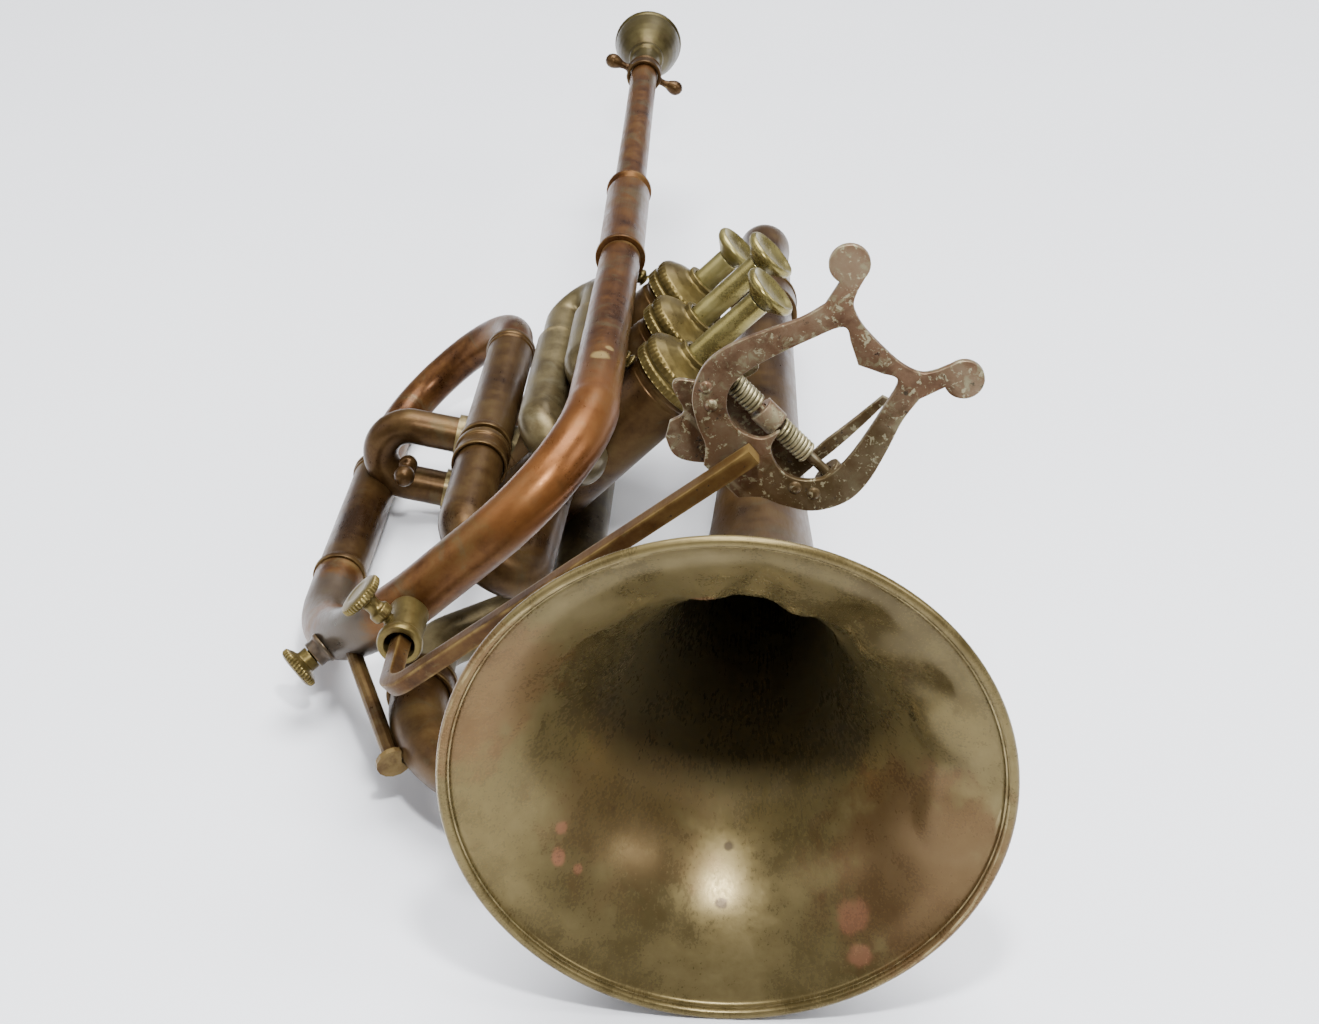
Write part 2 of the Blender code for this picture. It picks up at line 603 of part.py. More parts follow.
def build_lyre_socket(seat):
    """The block soldered to the leadpipe that holds the lyre, and its thumb screw."""
    sleeve = [(5.0, 16.0), (5.0, 3.4), (5.7, 2.6), (5.7, 0.4), (5.3, 0.0), (LYRE_ROD + GAP, 0.0),
              (LYRE_ROD + GAP, 16.0)]
    socket = turn("lyre_socket", sleeve, (-47.0, 76.0, -67.0), (0, 1, 0), "bright_brass")
    combine(socket, seat)
    combine(socket, cutter_cylinder("screw_hole", (-56, 83, -67), (-47, 83, -67), 1.9, 12))
    screw = [(0.0, 15.4), (4.4, 15.3), (6.1, 14.7), (6.1, 13.2), (4.6, 12.6), (2.6, 12.0), (2.0, 9.6),
             (2.6, 8.4), (2.6, 6.0), (1.6, 5.9), (1.6, 3.8), (0.0, 3.8)]
    turn("lyre_thumb_screw", screw, (-47.0, 83.0, -67.0), (-1, 0, 0), "bright_brass", steps=18,
         closed=False)


# ---- lyre --------------------------------------------------------------------------------
def lyre_outline():
    """Outer loop of the lyre: curled horns, a dipped cross-bar and bulging arms."""
    arm = smooth_line([(5.5, 28.8), (8.7, 32.4), (13.5, 34.6), (19.2, 38.6), (22.4, 45.2), (22.1, 52.0),
                       (19.3, 60.0), (16.2, 67.4), (14.9, 73.4)], 3)
    curl = arc((18.0, 83.2), 4.4, -110, 175, 10)
    bar = smooth_line([(12.6, 80.6), (10.6, 77.6), (6.0, 76.0), (0.0, 75.7)], 3)
    half = arm + curl + bar
    mirrored = [(-u, v) for u, v in reversed(half[:-1])]
    return half + mirrored


def lyre_window():
    """The opening: cusps above and below on the centre line, and rounded corners."""
    half = smooth_line([(0.0, 46.4), (1.6, 42.2), (6.6, 40.2), (11.2, 41.4), (14.6, 45.2), (15.2, 50.0),
                        (14.2, 56.0), (11.4, 65.6), (8.6, 72.8), (4.6, 71.4), (0.0, 69.2)], 3)
    mirrored = [(-u, v) for u, v in reversed(half[1:-1])]
    return half + mirrored


def plate_matrix(y):
    """Stands a flat outline upright across the instrument, at a distance behind the bell rim."""
    return Matrix.Translation(Vector((LYRE_X, y, 0)) * MM) @ Matrix.Rotation(math.pi / 2, 4, "X")


def build_lyre():
    """The lyre's square rod, front plate, sprung back jaw, hinge pin, lugs and springs."""
    route = [(-47.0, 89.0, -67.0), (-47.0, 54.0, -66.0), (-34.4, 51.3, 40.0)]
    sweep("lyre_rod", rounded_path(route, (7.0,), steps=4), LYRE_ROD, "plated_steel", wall=None, sides=4)
    flat_outline("lyre_plate", [lyre_outline(), lyre_window()], LYRE_THICKNESS, "plated_steel",
                 plate_matrix(LYRE_Y))

    pin_y = LYRE_Y + 4.0
    plate = as_mesh(bpy.data.objects["lyre_plate"])
    for label, start in (("left", -50.6), ("right", -17.6)):
        lug = turn(f"lyre_lug_{label}", [(3.6, 1.2), (3.6, 0.0), (1.45, 0.0), (1.45, 1.2)],
                   (start, pin_y, LYRE_PIN_Z), (1, 0, 0), "plated_steel", steps=12)
        as_cutter(lug)
        combine(plate, lug, "UNION")

    tab = smooth_line([(14.0, 44.0), (14.2, 50.0), (14.0, 58.0), (13.4, 66.5)], 2)
    inner = smooth_line([(11.8, 66.0), (11.6, 57.0), (11.2, 50.0), (10.6, 43.4), (3.4, 42.4)], 2)
    foot = smooth_line([(-13.6, 24.6), (-9.4, 23.0), (-5.0, 25.0), (3.0, 32.4), (14.0, 38.0)], 2)
    left = smooth_line([(-12.8, 42.2), (-12.2, 46.4), (-11.4, 50.4), (-13.2, 52.0), (-15.2, 50.0),
                        (-15.4, 43.6), (-16.4, 40.6), (-21.6, 36.6), (-21.2, 34.2), (-15.4, 32.0),
                        (-15.8, 28.0)], 2)
    outline = foot + tab + inner + [(0.9, 42.4), (0.9, 47.6), (-4.6, 47.6), (-4.6, 42.4)] + left
    jaw = as_mesh(flat_outline("lyre_jaw", [outline], 1.3, "plated_steel", plate_matrix(pin_y + 3.5)))
    barrel = turn("jaw_barrel", tube_profile(3.0, 1.45, 5.0), (-38.4, pin_y, LYRE_PIN_Z), (1, 0, 0),
                  "plated_steel", steps=14)
    as_cutter(barrel)
    combine(jaw, barrel, "UNION")
    move_origin(jaw, (LYRE_X, pin_y, LYRE_PIN_Z))
    pin = [(0.0, 34.8), (1.15, 34.8), (1.15, 0.0), (0.0, 0.0)]
    turn("lyre_hinge_pin", pin, (-50.9, pin_y, LYRE_PIN_Z), (1, 0, 0), "plated_steel", steps=10,
         closed=False)
    for label, start, end in (("left", -48.6, -39.4), ("right", -32.4, -23.4)):
        turns, per_turn = 6, 6
        coil = []
        for step in range(turns * per_turn + 1):
            angle = 2 * math.pi * step / per_turn
            coil.append((start + (end - start) * step / (turns * per_turn),
                         pin_y + 2.1 * math.cos(angle), LYRE_PIN_Z + 2.1 * math.sin(angle)))
        sweep(f"lyre_spring_{label}", coil, 0.45, "spring_steel", wall=None, sides=4,
              origin=(start, pin_y, LYRE_PIN_Z))


# ---- resting place ----------------------------------------------------------------------
def stand_over_origin():
    """Bring the middle of the whole outline over the origin and its lowest point to zero."""
    bpy.context.view_layer.update()
    graph = bpy.context.evaluated_depsgraph_get()
    low, high = Vector((1, 1, 1)), Vector((-1, -1, -1))
    for obj in parts.objects:
        if obj.type == "EMPTY":
            continue
        shape = obj.evaluated_get(graph).to_mesh()
        for vertex in shape.vertices:
            point = obj.matrix_world @ vertex.co
            low = Vector(min(pair) for pair in zip(low, point))
            high = Vector(max(pair) for pair in zip(high, point))
    middle = (low + high) / 2
    rest.matrix_world = Matrix.Translation((-middle.x, -middle.y, -low.z)) @ rest.matrix_world
    bpy.context.view_layer.update()


# ---- assembly ---------------------------------------------------------------------------
build_bell()
front_ring, front_route = build_bell_bow()
for valve, (valve_y, down) in enumerate(zip(VALVE_Y, PRESSED), start=1):
    build_casing(valve, valve_y)
    build_piston(valve, valve_y, down)
build_mouthpipe()
build_tuning_loop()
build_branch(front_ring)
build_first_slide()
build_second_slide()
build_third_slide()
leadpipe_seat = seat_of("leadpipe_seat", leadpipe_route(), 7.0)
build_braces(leadpipe_seat, seat_of("front_bow_seat", front_route, 7.6))
build_drain_plug()
build_lyre_socket(leadpipe_seat)
build_lyre()
stand_over_origin()
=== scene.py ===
"""The looks of the three-piston bugle: finer shapes for its worn metal, their finishes, a pale
table, soft light and the camera.  Shapes are laid out in the instrument's playing frame, in
millimetres: the bell faces -Y, the pistons rise along +Z and the player's left hand is on +X.
"""
import json
import math

import bmesh
import bpy
from mathutils import Matrix, Vector, noise

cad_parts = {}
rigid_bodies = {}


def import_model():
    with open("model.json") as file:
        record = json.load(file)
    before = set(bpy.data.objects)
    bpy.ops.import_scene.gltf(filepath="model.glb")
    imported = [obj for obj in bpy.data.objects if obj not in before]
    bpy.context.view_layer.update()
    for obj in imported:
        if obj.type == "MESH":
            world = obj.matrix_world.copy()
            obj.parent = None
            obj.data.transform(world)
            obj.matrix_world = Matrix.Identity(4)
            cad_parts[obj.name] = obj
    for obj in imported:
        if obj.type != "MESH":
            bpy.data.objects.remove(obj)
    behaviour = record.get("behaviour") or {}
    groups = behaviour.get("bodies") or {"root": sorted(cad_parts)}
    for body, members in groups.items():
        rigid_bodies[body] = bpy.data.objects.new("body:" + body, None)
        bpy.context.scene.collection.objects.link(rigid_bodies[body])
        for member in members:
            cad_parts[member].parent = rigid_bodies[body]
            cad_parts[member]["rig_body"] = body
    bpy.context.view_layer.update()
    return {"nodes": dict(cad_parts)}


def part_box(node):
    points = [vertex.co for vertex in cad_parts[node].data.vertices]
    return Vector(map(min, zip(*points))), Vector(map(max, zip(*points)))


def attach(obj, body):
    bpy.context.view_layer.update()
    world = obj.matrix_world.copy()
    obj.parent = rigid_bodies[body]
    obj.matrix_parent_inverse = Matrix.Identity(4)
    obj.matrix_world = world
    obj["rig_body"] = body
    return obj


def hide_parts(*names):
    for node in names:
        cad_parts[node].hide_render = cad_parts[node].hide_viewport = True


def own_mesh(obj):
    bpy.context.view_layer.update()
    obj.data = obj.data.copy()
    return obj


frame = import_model()

MM = 0.001
ROLL = math.radians(45.14)       # the instrument lies turned about the bell's axis
SLOPE = math.radians(3.04)       # and falls this much towards the mouthpiece
rim_low, rim_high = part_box("bell_rim_wire")
RIM = (rim_low + rim_high) / 2   # centre of the bell's rim
PLACE = Matrix.Translation(RIM) @ Matrix.Rotation(-SLOPE, 4, "X") @ Matrix.Rotation(ROLL, 4, "Y")


def world(point):
    """A playing-frame point, in millimetres, as a point of the scene, in metres."""
    return PLACE @ (Vector(point) * MM)


# ---- finishes ---------------------------------------------------------------------------
def add_node(tree, kind, links, **settings):
    """Add one shader node; links gives its inputs as values or as other nodes' outputs."""
    made = tree.nodes.new(kind)
    for key, value in settings.items():
        setattr(made, key, value)
    for key, value in links.items():
        if isinstance(value, bpy.types.NodeSocket):
            tree.links.new(value, made.inputs[key])
        else:
            made.inputs[key].default_value = value
    return made


def ramp(tree, source, stops):
    """Colours along a value: stops lists (position, colour)."""
    made = add_node(tree, "ShaderNodeValToRGB", {"Fac": source})
    band = made.color_ramp
    while len(band.elements) < len(stops):
        band.elements.new(0.5)
    for element, (place, colour) in zip(band.elements, stops):
        element.position = place
        element.color = (*colour, 1.0)
    return made.outputs["Color"]


def between(tree, source, low, high, out_low=0.0, out_high=1.0):
    """A value stretched smoothly from low..high to out_low..out_high, and kept inside."""
    made = add_node(tree, "ShaderNodeMapRange",
                    {"Value": source, "From Min": low, "From Max": high, "To Min": out_low,
                     "To Max": out_high}, interpolation_type="SMOOTHSTEP")
    return made.outputs["Result"]


def maths(tree, operation, first, second):
    """Arithmetic on two values."""
    return add_node(tree, "ShaderNodeMath", {0: first, 1: second}, operation=operation).outputs[0]


def mix(tree, share, first, second):
    """Two colours mixed by a share."""
    return add_node(tree, "ShaderNodeMix", {0: share, 6: first, 7: second},
                    data_type="RGBA").outputs[2]


def cloud(tree, where, scale, detail=4.0, rough=0.6, twist=0.0):
    """Noise at one scale, in features per metre."""
    return add_node(tree, "ShaderNodeTexNoise",
                    {"Vector": where, "Scale": scale, "Detail": detail, "Roughness": rough,
                     "Distortion": twist}).outputs["Fac"]


def weighted(tree, *parts):
    """The sum of values, each times its weight: parts lists (value, weight)."""
    value, weight = parts[0]
    term = maths(tree, "MULTIPLY", value, weight)
    return maths(tree, "ADD", term, weighted(tree, *parts[1:])) if len(parts) > 1 else term


COPPER = (0.34, 0.15, 0.085)
GREY = (0.075, 0.068, 0.054)
SOOT = (0.03, 0.02, 0.012)
RUBBED = (0.322, 0.228, 0.09)
TONE_STEPS = (0.39, 0.465, 0.53, 0.61)   # where the four shades sit in the clouding
WEAR_FROM = 0.515                        # edges sharper than this are rubbed bright
HOLLOW_DARK_FROM, HOLLOW_DARK_FULL = 0.485, 0.44     # hollows deeper than this are made darker


def patina(name, shades, film, worn, metallic, gloss, specks=SOOT, film_from=0.56,
           speck_from=0.66, depth=0.12, film_scale=75, flecks=None, patches=()):
    """Aged metal: clouded shades, a grey film, dark specks, bright worn edges and fine scratches.
    gloss is the roughness of its dark and light parts, and depth the strength of its relief.
    flecks gives (colour, lowest noise) of bright remains of plating, and patches lists
    (centre, reach, colour, strength) of larger local marks and of painted light."""
    material = bpy.data.materials.new("aged_" + name)
    material.use_nodes = True
    tree = material.node_tree
    shader = tree.nodes["Principled BSDF"]
    where = add_node(tree, "ShaderNodeTexCoord", {}).outputs["Object"]
    broad = cloud(tree, where, 34, 7, 0.62, 0.5)
    middle = cloud(tree, where, 150, 6, 0.6, 0.3)
    fine = cloud(tree, where, 900, 4, 0.6)
    grit = cloud(tree, where, 2600, 2, 0.5)
    stretched = add_node(tree, "ShaderNodeMapping", {"Vector": where, "Scale": (1.0, 0.06, 1.0)},
                         vector_type="POINT").outputs["Vector"]
    streaks = cloud(tree, stretched, 1500, 4, 0.65)
    tone = weighted(tree, (broad, 0.6), (middle, 0.3), (fine, 0.1))
    colour = ramp(tree, tone, list(zip(TONE_STEPS, shades)))
    haze = cloud(tree, where, film_scale, 8, 0.66, 0.8)
    colour = mix(tree, between(tree, haze, film_from, film_from + 0.12, 0.0, 0.75), colour,
                 (*film, 1.0))
    for centre, reach, tint, strength in patches:
        away = add_node(tree, "ShaderNodeVectorMath", {0: where, 1: world(centre)},
                        operation="DISTANCE").outputs["Value"]
        waver = maths(tree, "MULTIPLY", maths(tree, "SUBTRACT", middle, 0.5), reach * MM * 1.5)
        ragged = maths(tree, "ADD", away, waver)
        share = between(tree, ragged, reach * MM * 0.55, reach * MM * 1.05, strength, 0.0)
        colour = mix(tree, share, colour, (*tint, 1.0))
    if flecks:
        tint, fleck_from = flecks
        bright = between(tree, cloud(tree, where, 620, 6, 0.68, 0.4), fleck_from,
                         fleck_from + 0.04)
        colour = mix(tree, bright, colour, (*tint, 1.0))
    dots = cloud(tree, where, 430, 5, 0.7)
    dark = between(tree, dots, speck_from, speck_from + 0.05)
    colour = mix(tree, dark, colour, (*specks, 1.0))
    edge = add_node(tree, "ShaderNodeNewGeometry", {}).outputs["Pointiness"]
    rubbed = maths(tree, "MULTIPLY", between(tree, edge, WEAR_FROM, WEAR_FROM + 0.05),
                   between(tree, middle, 0.38, 0.62, 0.15, 0.85))
    colour = mix(tree, rubbed, colour, (*worn, 1.0))
    # hollows are made darker, towards half the speck colour
    hollow_dark = between(tree, edge, HOLLOW_DARK_FROM, HOLLOW_DARK_FULL, 0.0, 0.7)
    colour = mix(tree, hollow_dark, colour, (*[part * 0.5 for part in specks], 1.0))
    tree.links.new(colour, shader.inputs["Base Color"])
    shader.inputs["Metallic"].default_value = metallic
    shader.inputs["Specular IOR Level"].default_value = 0.2
    rough = weighted(tree, (between(tree, tone, 0.38, 0.62, *gloss), 1.0), (dark, 0.25),
                     (maths(tree, "SUBTRACT", streaks, 0.5), 0.25))
    tree.links.new(rough, shader.inputs["Roughness"])
    height = maths(tree, "SUBTRACT", weighted(tree, (middle, 0.5), (streaks, 0.12), (grit, 0.10)),
                   maths(tree, "MULTIPLY", dark, 0.35))
    bump = add_node(tree, "ShaderNodeBump", {"Height": height, "Strength": depth,
                                             "Distance": 0.0006})
    tree.links.new(bump.outputs["Normal"], shader.inputs["Normal"])
    return material


RECIPES = {
    "bell_brass": {
        "shades": [(0.086, 0.062, 0.022), (0.112, 0.084, 0.033), (0.138, 0.105, 0.042),
                   (0.166, 0.128, 0.055)],
        "film": (0.128, 0.070, 0.030), "worn": (0.294, 0.231, 0.112), "metallic": 0.53,
        "gloss": (0.24, 0.34), "film_from": 0.62, "speck_from": 0.71, "depth": 0.045,
        "patches": [((48, 8, 14), 30, (0.096, 0.046, 0.019), 0.6),
                    ((-52, 2, -22), 24, (0.160, 0.073, 0.030), 0.4),
                    ((-10.9, 13.8, -39.8), 1.9, COPPER, 0.8),
                    ((-7.2, 10.3, -44.1), 2.4, COPPER, 0.8),
                    ((-1.8, 11.4, -43.5), 1.6, COPPER, 0.7),
                    ((45.4, 7.6, -6.5), 4.5, COPPER, 0.45), ((52, 3, -10), 3.0, COPPER, 0.45),
                    ((-2.4, 23.6, -33.6), 1.2, SOOT, 0.8), ((23.6, 25.2, -22.4), 1.6, SOOT, 0.8),
                    ((27.9, 14.4, -28.7), 1.5, SOOT, 0.8), ((-30, 16, 22), 3.0, COPPER, 0.4),
                    # painted light: the throat is made paler where the lamp above the camera
                    # lights it
                    ((3, 48, -8), 34, (0.20, 0.155, 0.075), 0.6),
                    ((0, 24, -30), 24, (0.141, 0.082, 0.034), 0.35)]},
    "red_patina": {
        "shades": [(0.038, 0.014, 0.004), (0.077, 0.031, 0.009), (0.112, 0.049, 0.014),
                   (0.124, 0.067, 0.021)],
        "film": (0.096, 0.069, 0.033), "worn": (0.186, 0.12, 0.045), "metallic": 0.55,
        "gloss": (0.28, 0.44), "film_from": 0.53, "speck_from": 0.68,
        "patches": [((-48, 122, -6), 32, (0.155, 0.057, 0.015), 0.6),
                    ((-49, 98, -24), 15, (0.186, 0.072, 0.02), 0.6),
                    ((-51, 100, -92), 19, GREY, 0.75), ((-54, 136, -102), 14, GREY, 0.7),
                    ((-48.4, 150.3, -3.8), 3.0, RUBBED, 0.9),
                    ((-46.8, 156.0, -2.6), 1.6, RUBBED, 0.8)]},
    "brown_brass": {
        "shades": [(0.029, 0.013, 0.004), (0.052, 0.026, 0.008), (0.074, 0.04, 0.013),
                   (0.091, 0.056, 0.019)],
        "film": (0.069, 0.049, 0.022), "worn": (0.198, 0.135, 0.05), "metallic": 0.55,
        "gloss": (0.28, 0.44), "speck_from": 0.68},
    "grey_brass": {
        "shades": [(0.056, 0.041, 0.018), (0.09, 0.067, 0.03), (0.122, 0.096, 0.045),
                   (0.158, 0.125, 0.061)],
        "film": (0.137, 0.115, 0.063), "worn": (0.274, 0.211, 0.094), "metallic": 0.55,
        "gloss": (0.3, 0.46), "film_from": 0.54, "speck_from": 0.69},
    "bright_brass": {
        "shades": [(0.133, 0.105, 0.032), (0.195, 0.16, 0.054), (0.257, 0.217, 0.079),
                   (0.304, 0.262, 0.106)],
        "film": (0.172, 0.129, 0.05), "specks": (0.047, 0.032, 0.012),
        "worn": (0.429, 0.365, 0.165), "metallic": 0.72, "gloss": (0.24, 0.38),
        "film_from": 0.6, "speck_from": 0.69},
    "plated_steel": {
        "shades": [(0.077, 0.04, 0.021), (0.124, 0.069, 0.038), (0.155, 0.096, 0.057),
                   (0.167, 0.12, 0.07)],
        "film": (0.198, 0.18, 0.101), "worn": (0.341, 0.306, 0.198), "metallic": 0.5,
        "gloss": (0.34, 0.52), "film_from": 0.52, "speck_from": 0.62, "depth": 0.45,
        "film_scale": 330, "flecks": ((0.285, 0.258, 0.156), 0.575),
        "patches": [((-13, 55, 52), 20, (0.065, 0.042, 0.016), 0.8),
                    ((-20, 55, 38), 12, (0.068, 0.044, 0.017), 0.7),
                    ((-40, 55, 32), 12, (0.09, 0.047, 0.02), 0.6),
                    ((-47, 62, 40), 9, (0.05, 0.026, 0.011), 0.6)]},
    "spring_steel": {
        "shades": [(0.063, 0.05, 0.022), (0.119, 0.101, 0.047), (0.175, 0.153, 0.08),
                   (0.224, 0.197, 0.105)],
        "film": (0.126, 0.088, 0.041), "worn": (0.35, 0.306, 0.176), "metallic": 0.7,
        "gloss": (0.3, 0.45)},
    "dull_brass": {
        "shades": [(0.062, 0.043, 0.012), (0.093, 0.067, 0.02), (0.127, 0.094, 0.03),
                   (0.155, 0.119, 0.041)],
        "film": (0.093, 0.061, 0.022), "worn": (0.273, 0.215, 0.083), "metallic": 0.65,
        "gloss": (0.28, 0.42), "film_from": 0.55, "speck_from": 0.67},
    "brown_steel": {
        "shades": [(0.033, 0.014, 0.003), (0.061, 0.027, 0.007), (0.085, 0.043, 0.012),
                   (0.107, 0.061, 0.018)],
        "film": (0.088, 0.059, 0.022), "worn": (0.209, 0.136, 0.044), "metallic": 0.5,
        "gloss": (0.34, 0.5), "speck_from": 0.62, "depth": 0.3, "film_scale": 240},
    "old_brass": {
        "shades": [(0.03, 0.021, 0.007), (0.046, 0.034, 0.011), (0.065, 0.05, 0.017),
                   (0.08, 0.064, 0.024)],
        "film": (0.07, 0.048, 0.02), "worn": (0.26, 0.21, 0.08), "metallic": 0.6,
        "gloss": (0.3, 0.44), "film_from": 0.55},
}
FINISHES = {name: patina(name, **recipe) for name, recipe in RECIPES.items()}
# Nodes whose metal has aged differently from the rest of their kind.
DULLED = ("drain_plug", "lyre_thumb_screw", "lyre_socket", "brace_upper", "brace_lower",
          "valve_top_cap_1", "valve_top_cap_2", "valve_top_cap_3")
AGED = {"lyre_rod": "brown_steel", "mouthpiece": "old_brass",
        **dict.fromkeys(DULLED, "dull_brass")}
SLOT = {}
for node_name, obj in frame["nodes"].items():
    SLOT[node_name] = obj.data.materials[0].name.split(".")[0]
    obj.data.materials[0] = FINISHES[AGED.get(node_name, SLOT[node_name])]
    obj.data.shade_smooth()


# ---- shape makers -----------------------------------------------------------------------
def add_piece(name, points, faces, cad, smooth_angle=math.radians(35)):
    """Make a piece from playing-frame points that stands for a CAD node: it moves with that
    node's body and has that node's finish."""
    mesh = bpy.data.meshes.new(name)
    mesh.from_pydata([world(point) for point in points], [], faces)
    shape = bmesh.new()
    shape.from_mesh(mesh)
    bmesh.ops.remove_doubles(shape, verts=shape.verts, dist=1e-6)
    bmesh.ops.recalc_face_normals(shape, faces=shape.faces)
    for edge in shape.edges:
        edge.smooth = len(edge.link_faces) < 2 or edge.calc_face_angle(0.0) < smooth_angle
    shape.to_mesh(mesh)
    shape.free()
    mesh.shade_smooth()
    mesh.materials.append(FINISHES[AGED.get(cad, SLOT[cad])])
    piece = bpy.data.objects.new(name, mesh)
    bpy.context.scene.collection.objects.link(piece)
    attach(piece, frame["nodes"][cad]["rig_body"])
    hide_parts(cad)
    return piece


def ring_faces(rings, sides, closed=True):
    """Four-sided faces between rings of points; closed joins the last ring to the first."""
    faces = []
    for ring in range(rings if closed else rings - 1):
        start, after = ring * sides, (ring + 1) % rings * sides
        for step in range(sides):
            beside = (step + 1) % sides
            faces.append((start + step, start + beside, after + beside, after + step))
    return faces


def joined(verts, faces, extra):
    """One shape made of a first shape and of further (points, faces)."""
    for more_verts, more_faces in extra:
        base = len(verts)
        verts = verts + more_verts
        faces = faces + [tuple(base + index for index in face) for face in more_faces]
    return verts, faces


def rounded_path(corners, radii, steps=16):
    """A route of straight runs joined by arcs: each inner corner is filleted with its radius."""
    points = [Vector(corners[0])]
    for index in range(1, len(corners) - 1):
        before, corner, after = (Vector(corners[index + k]) for k in (-1, 0, 1))
        into = (before - corner).normalized()
        out = (after - corner).normalized()
        half = 0.5 * into.angle(out)
        reach = radii[index - 1] / math.tan(half)
        centre = corner + (into + out).normalized() * radii[index - 1] / math.sin(half)
        start = corner + into * reach - centre
        end = corner + out * reach - centre
        sweep = start.angle(end)
        for step in range(steps + 1):
            share = step / steps
            blend = start * math.sin((1 - share) * sweep) + end * math.sin(share * sweep)
            points.append(centre + blend / math.sin(sweep))
    points.append(Vector(corners[-1]))
    return points


def lengths_along(points):
    """Distance from the first point to each point, measured along the route."""
    total = [0.0]
    for first, second in zip(points, points[1:]):
        total.append(total[-1] + (second - first).length)
    return total


def spaced(points, values, gap):
    """The same route and its values with extra points, so that none are further apart than gap."""
    route, kept = [], []
    for first, second, a, b in zip(points, points[1:], values, values[1:]):
        length = (second - first).length
        if length < 1e-4:
            continue
        count = max(1, math.ceil(length / gap))
        for step in range(count):
            share = step / count
            route.append(first.lerp(second, share))
            kept.append(a + (b - a) * share)
    return route + [points[-1]], kept + [values[-1]]


def cross_frames(points):
    """Two directions across the route at each point, carried along it without twisting."""
    found = []
    side = None
    for index, point in enumerate(points):
        ahead = (points[min(index + 1, len(points) - 1)] - points[max(index - 1, 0)]).normalized()
        if side is None:
            side = ahead.orthogonal().normalized()
        side = (side - ahead * side.dot(ahead)).normalized()
        found.append((side, ahead.cross(side)))
    return found


VALVE_X = -22.0
VALVE_Y = {1: 236.0, 2: 208.0, 3: 180.0}
SEAT_RADIUS = 10.9               # tubes end just inside the valve casings' wall


def tube(name, points, radii, cad, wall=0.7, sides=40, gap=2.5, dents=(), uneven=0.05,
         seat=None, bulges=(), square=False):
    """A tube along a route.  radii is one number, one for each end or one for each point;
    wall=None makes it solid, and uneven is how far its surface wanders.
    dents lists (point, reach, depth); bulges lists (distance, width, height) of soldered rings;
    seat names the valve whose casing the end is shaped to; square gives a square rod."""
    points = [Vector(point) for point in points]
    if isinstance(radii, (int, float)):
        radii = [radii] * len(points)
    if len(radii) == 2 and len(points) > 2:
        run = lengths_along(points)
        radii = [radii[0] + (radii[1] - radii[0]) * part / run[-1] for part in run]
    route, sizes = spaced(points, radii, gap)
    along = lengths_along(route)
    sets = cross_frames(route)
    verts = []
    rings = len(route)
    for inner in (False, True) if wall is not None else (False,):
        for index in range(rings):
            at = rings - 1 - index if inner else index
            side, other = sets[at]
            for step in range(sides):
                angle = 2 * math.pi * step / sides
                away = side * math.cos(angle) + other * math.sin(angle)
                size = sizes[at]
                if square:
                    size *= min(0.94, 1 / (abs(math.cos(angle)) + abs(math.sin(angle))))
                spot = route[at] + away * size
                size += uneven * noise.noise(spot * 0.06) + 0.4 * uneven * noise.noise(spot * 0.3)
                for centre, reach, depth in dents:
                    near = (spot - Vector(centre)).length / reach
                    if near < 1.0:
                        size -= depth * (1 - near * near) ** 2
                for place, width, height in bulges:
                    near = abs(along[at] - place) / width
                    if near < 1.0 and not inner:
                        size += height * (1 - near * near)
                if inner:
                    size -= wall
                spot = route[at] + away * size
                if seat is not None:
                    offset = Vector((spot.x - VALVE_X, spot.y - VALVE_Y[seat], 0))
                    if offset.length < SEAT_RADIUS:
                        offset = offset.normalized() * SEAT_RADIUS
                        spot = Vector((VALVE_X + offset.x, VALVE_Y[seat] + offset.y, spot.z))
                verts.append(spot)
    count = len(verts) // sides
    faces = ring_faces(count, sides, closed=wall is not None)
    if wall is None:
        faces.append(tuple(range(sides)))
        faces.append(tuple(range((count - 1) * sides, count * sides))[::-1])
    return add_piece(name, verts, faces, cad)


def softened(profile, amount, closed):
    """A turned profile with each corner rounded a little."""
    corners = [Vector(point) for point in profile]
    rounded = []
    for index, corner in enumerate(corners):
        if not closed and index in (0, len(corners) - 1):
            rounded.append(corner)
            continue
        before = corners[index - 1] - corner
        after = corners[(index + 1) % len(corners)] - corner
        start = corner + before.normalized() * min(amount, 0.4 * before.length)
        end = corner + after.normalized() * min(amount, 0.4 * after.length)
        for t in (0.0, 0.33, 0.67, 1.0):
            rounded.append(start * (1 - t) ** 2 + corner * 2 * t * (1 - t) + end * t * t)
    return rounded


def lathe_shape(profile, origin, axis, closed=True, soft=0.3, steps=56, knurl=None):
    """Points and faces of a turned shape.  profile lists (radius, height); knurl gives
    (lowest, highest, smallest radius, grooves, depth) of a knurled band."""
    line = softened(profile, soft, closed)
    upward = Vector(axis).normalized()
    side = upward.orthogonal().normalized()
    other = upward.cross(side)
    if knurl:
        steps = knurl[3] * 6
    verts = []
    for radius, height in line:
        for step in range(steps):
            angle = 2 * math.pi * step / steps
            size = radius
            if knurl and knurl[0] <= height <= knurl[1] and radius >= knurl[2]:
                size -= knurl[4] * 0.5 * (1 + math.cos(angle * knurl[3]))
            verts.append(Vector(origin) + upward * height
                         + (side * math.cos(angle) + other * math.sin(angle)) * size)
    return verts, ring_faces(len(line), steps, closed)


def lathe(name, profile, origin, axis, cad, closed=True, soft=0.3, steps=56, knurl=None,
          extra=()):
    """A turned piece; extra lists further (points, faces) that belong to the same piece."""
    shape = joined(*lathe_shape(profile, origin, axis, closed, soft, steps, knurl), extra)
    return add_piece(name, *shape, cad)


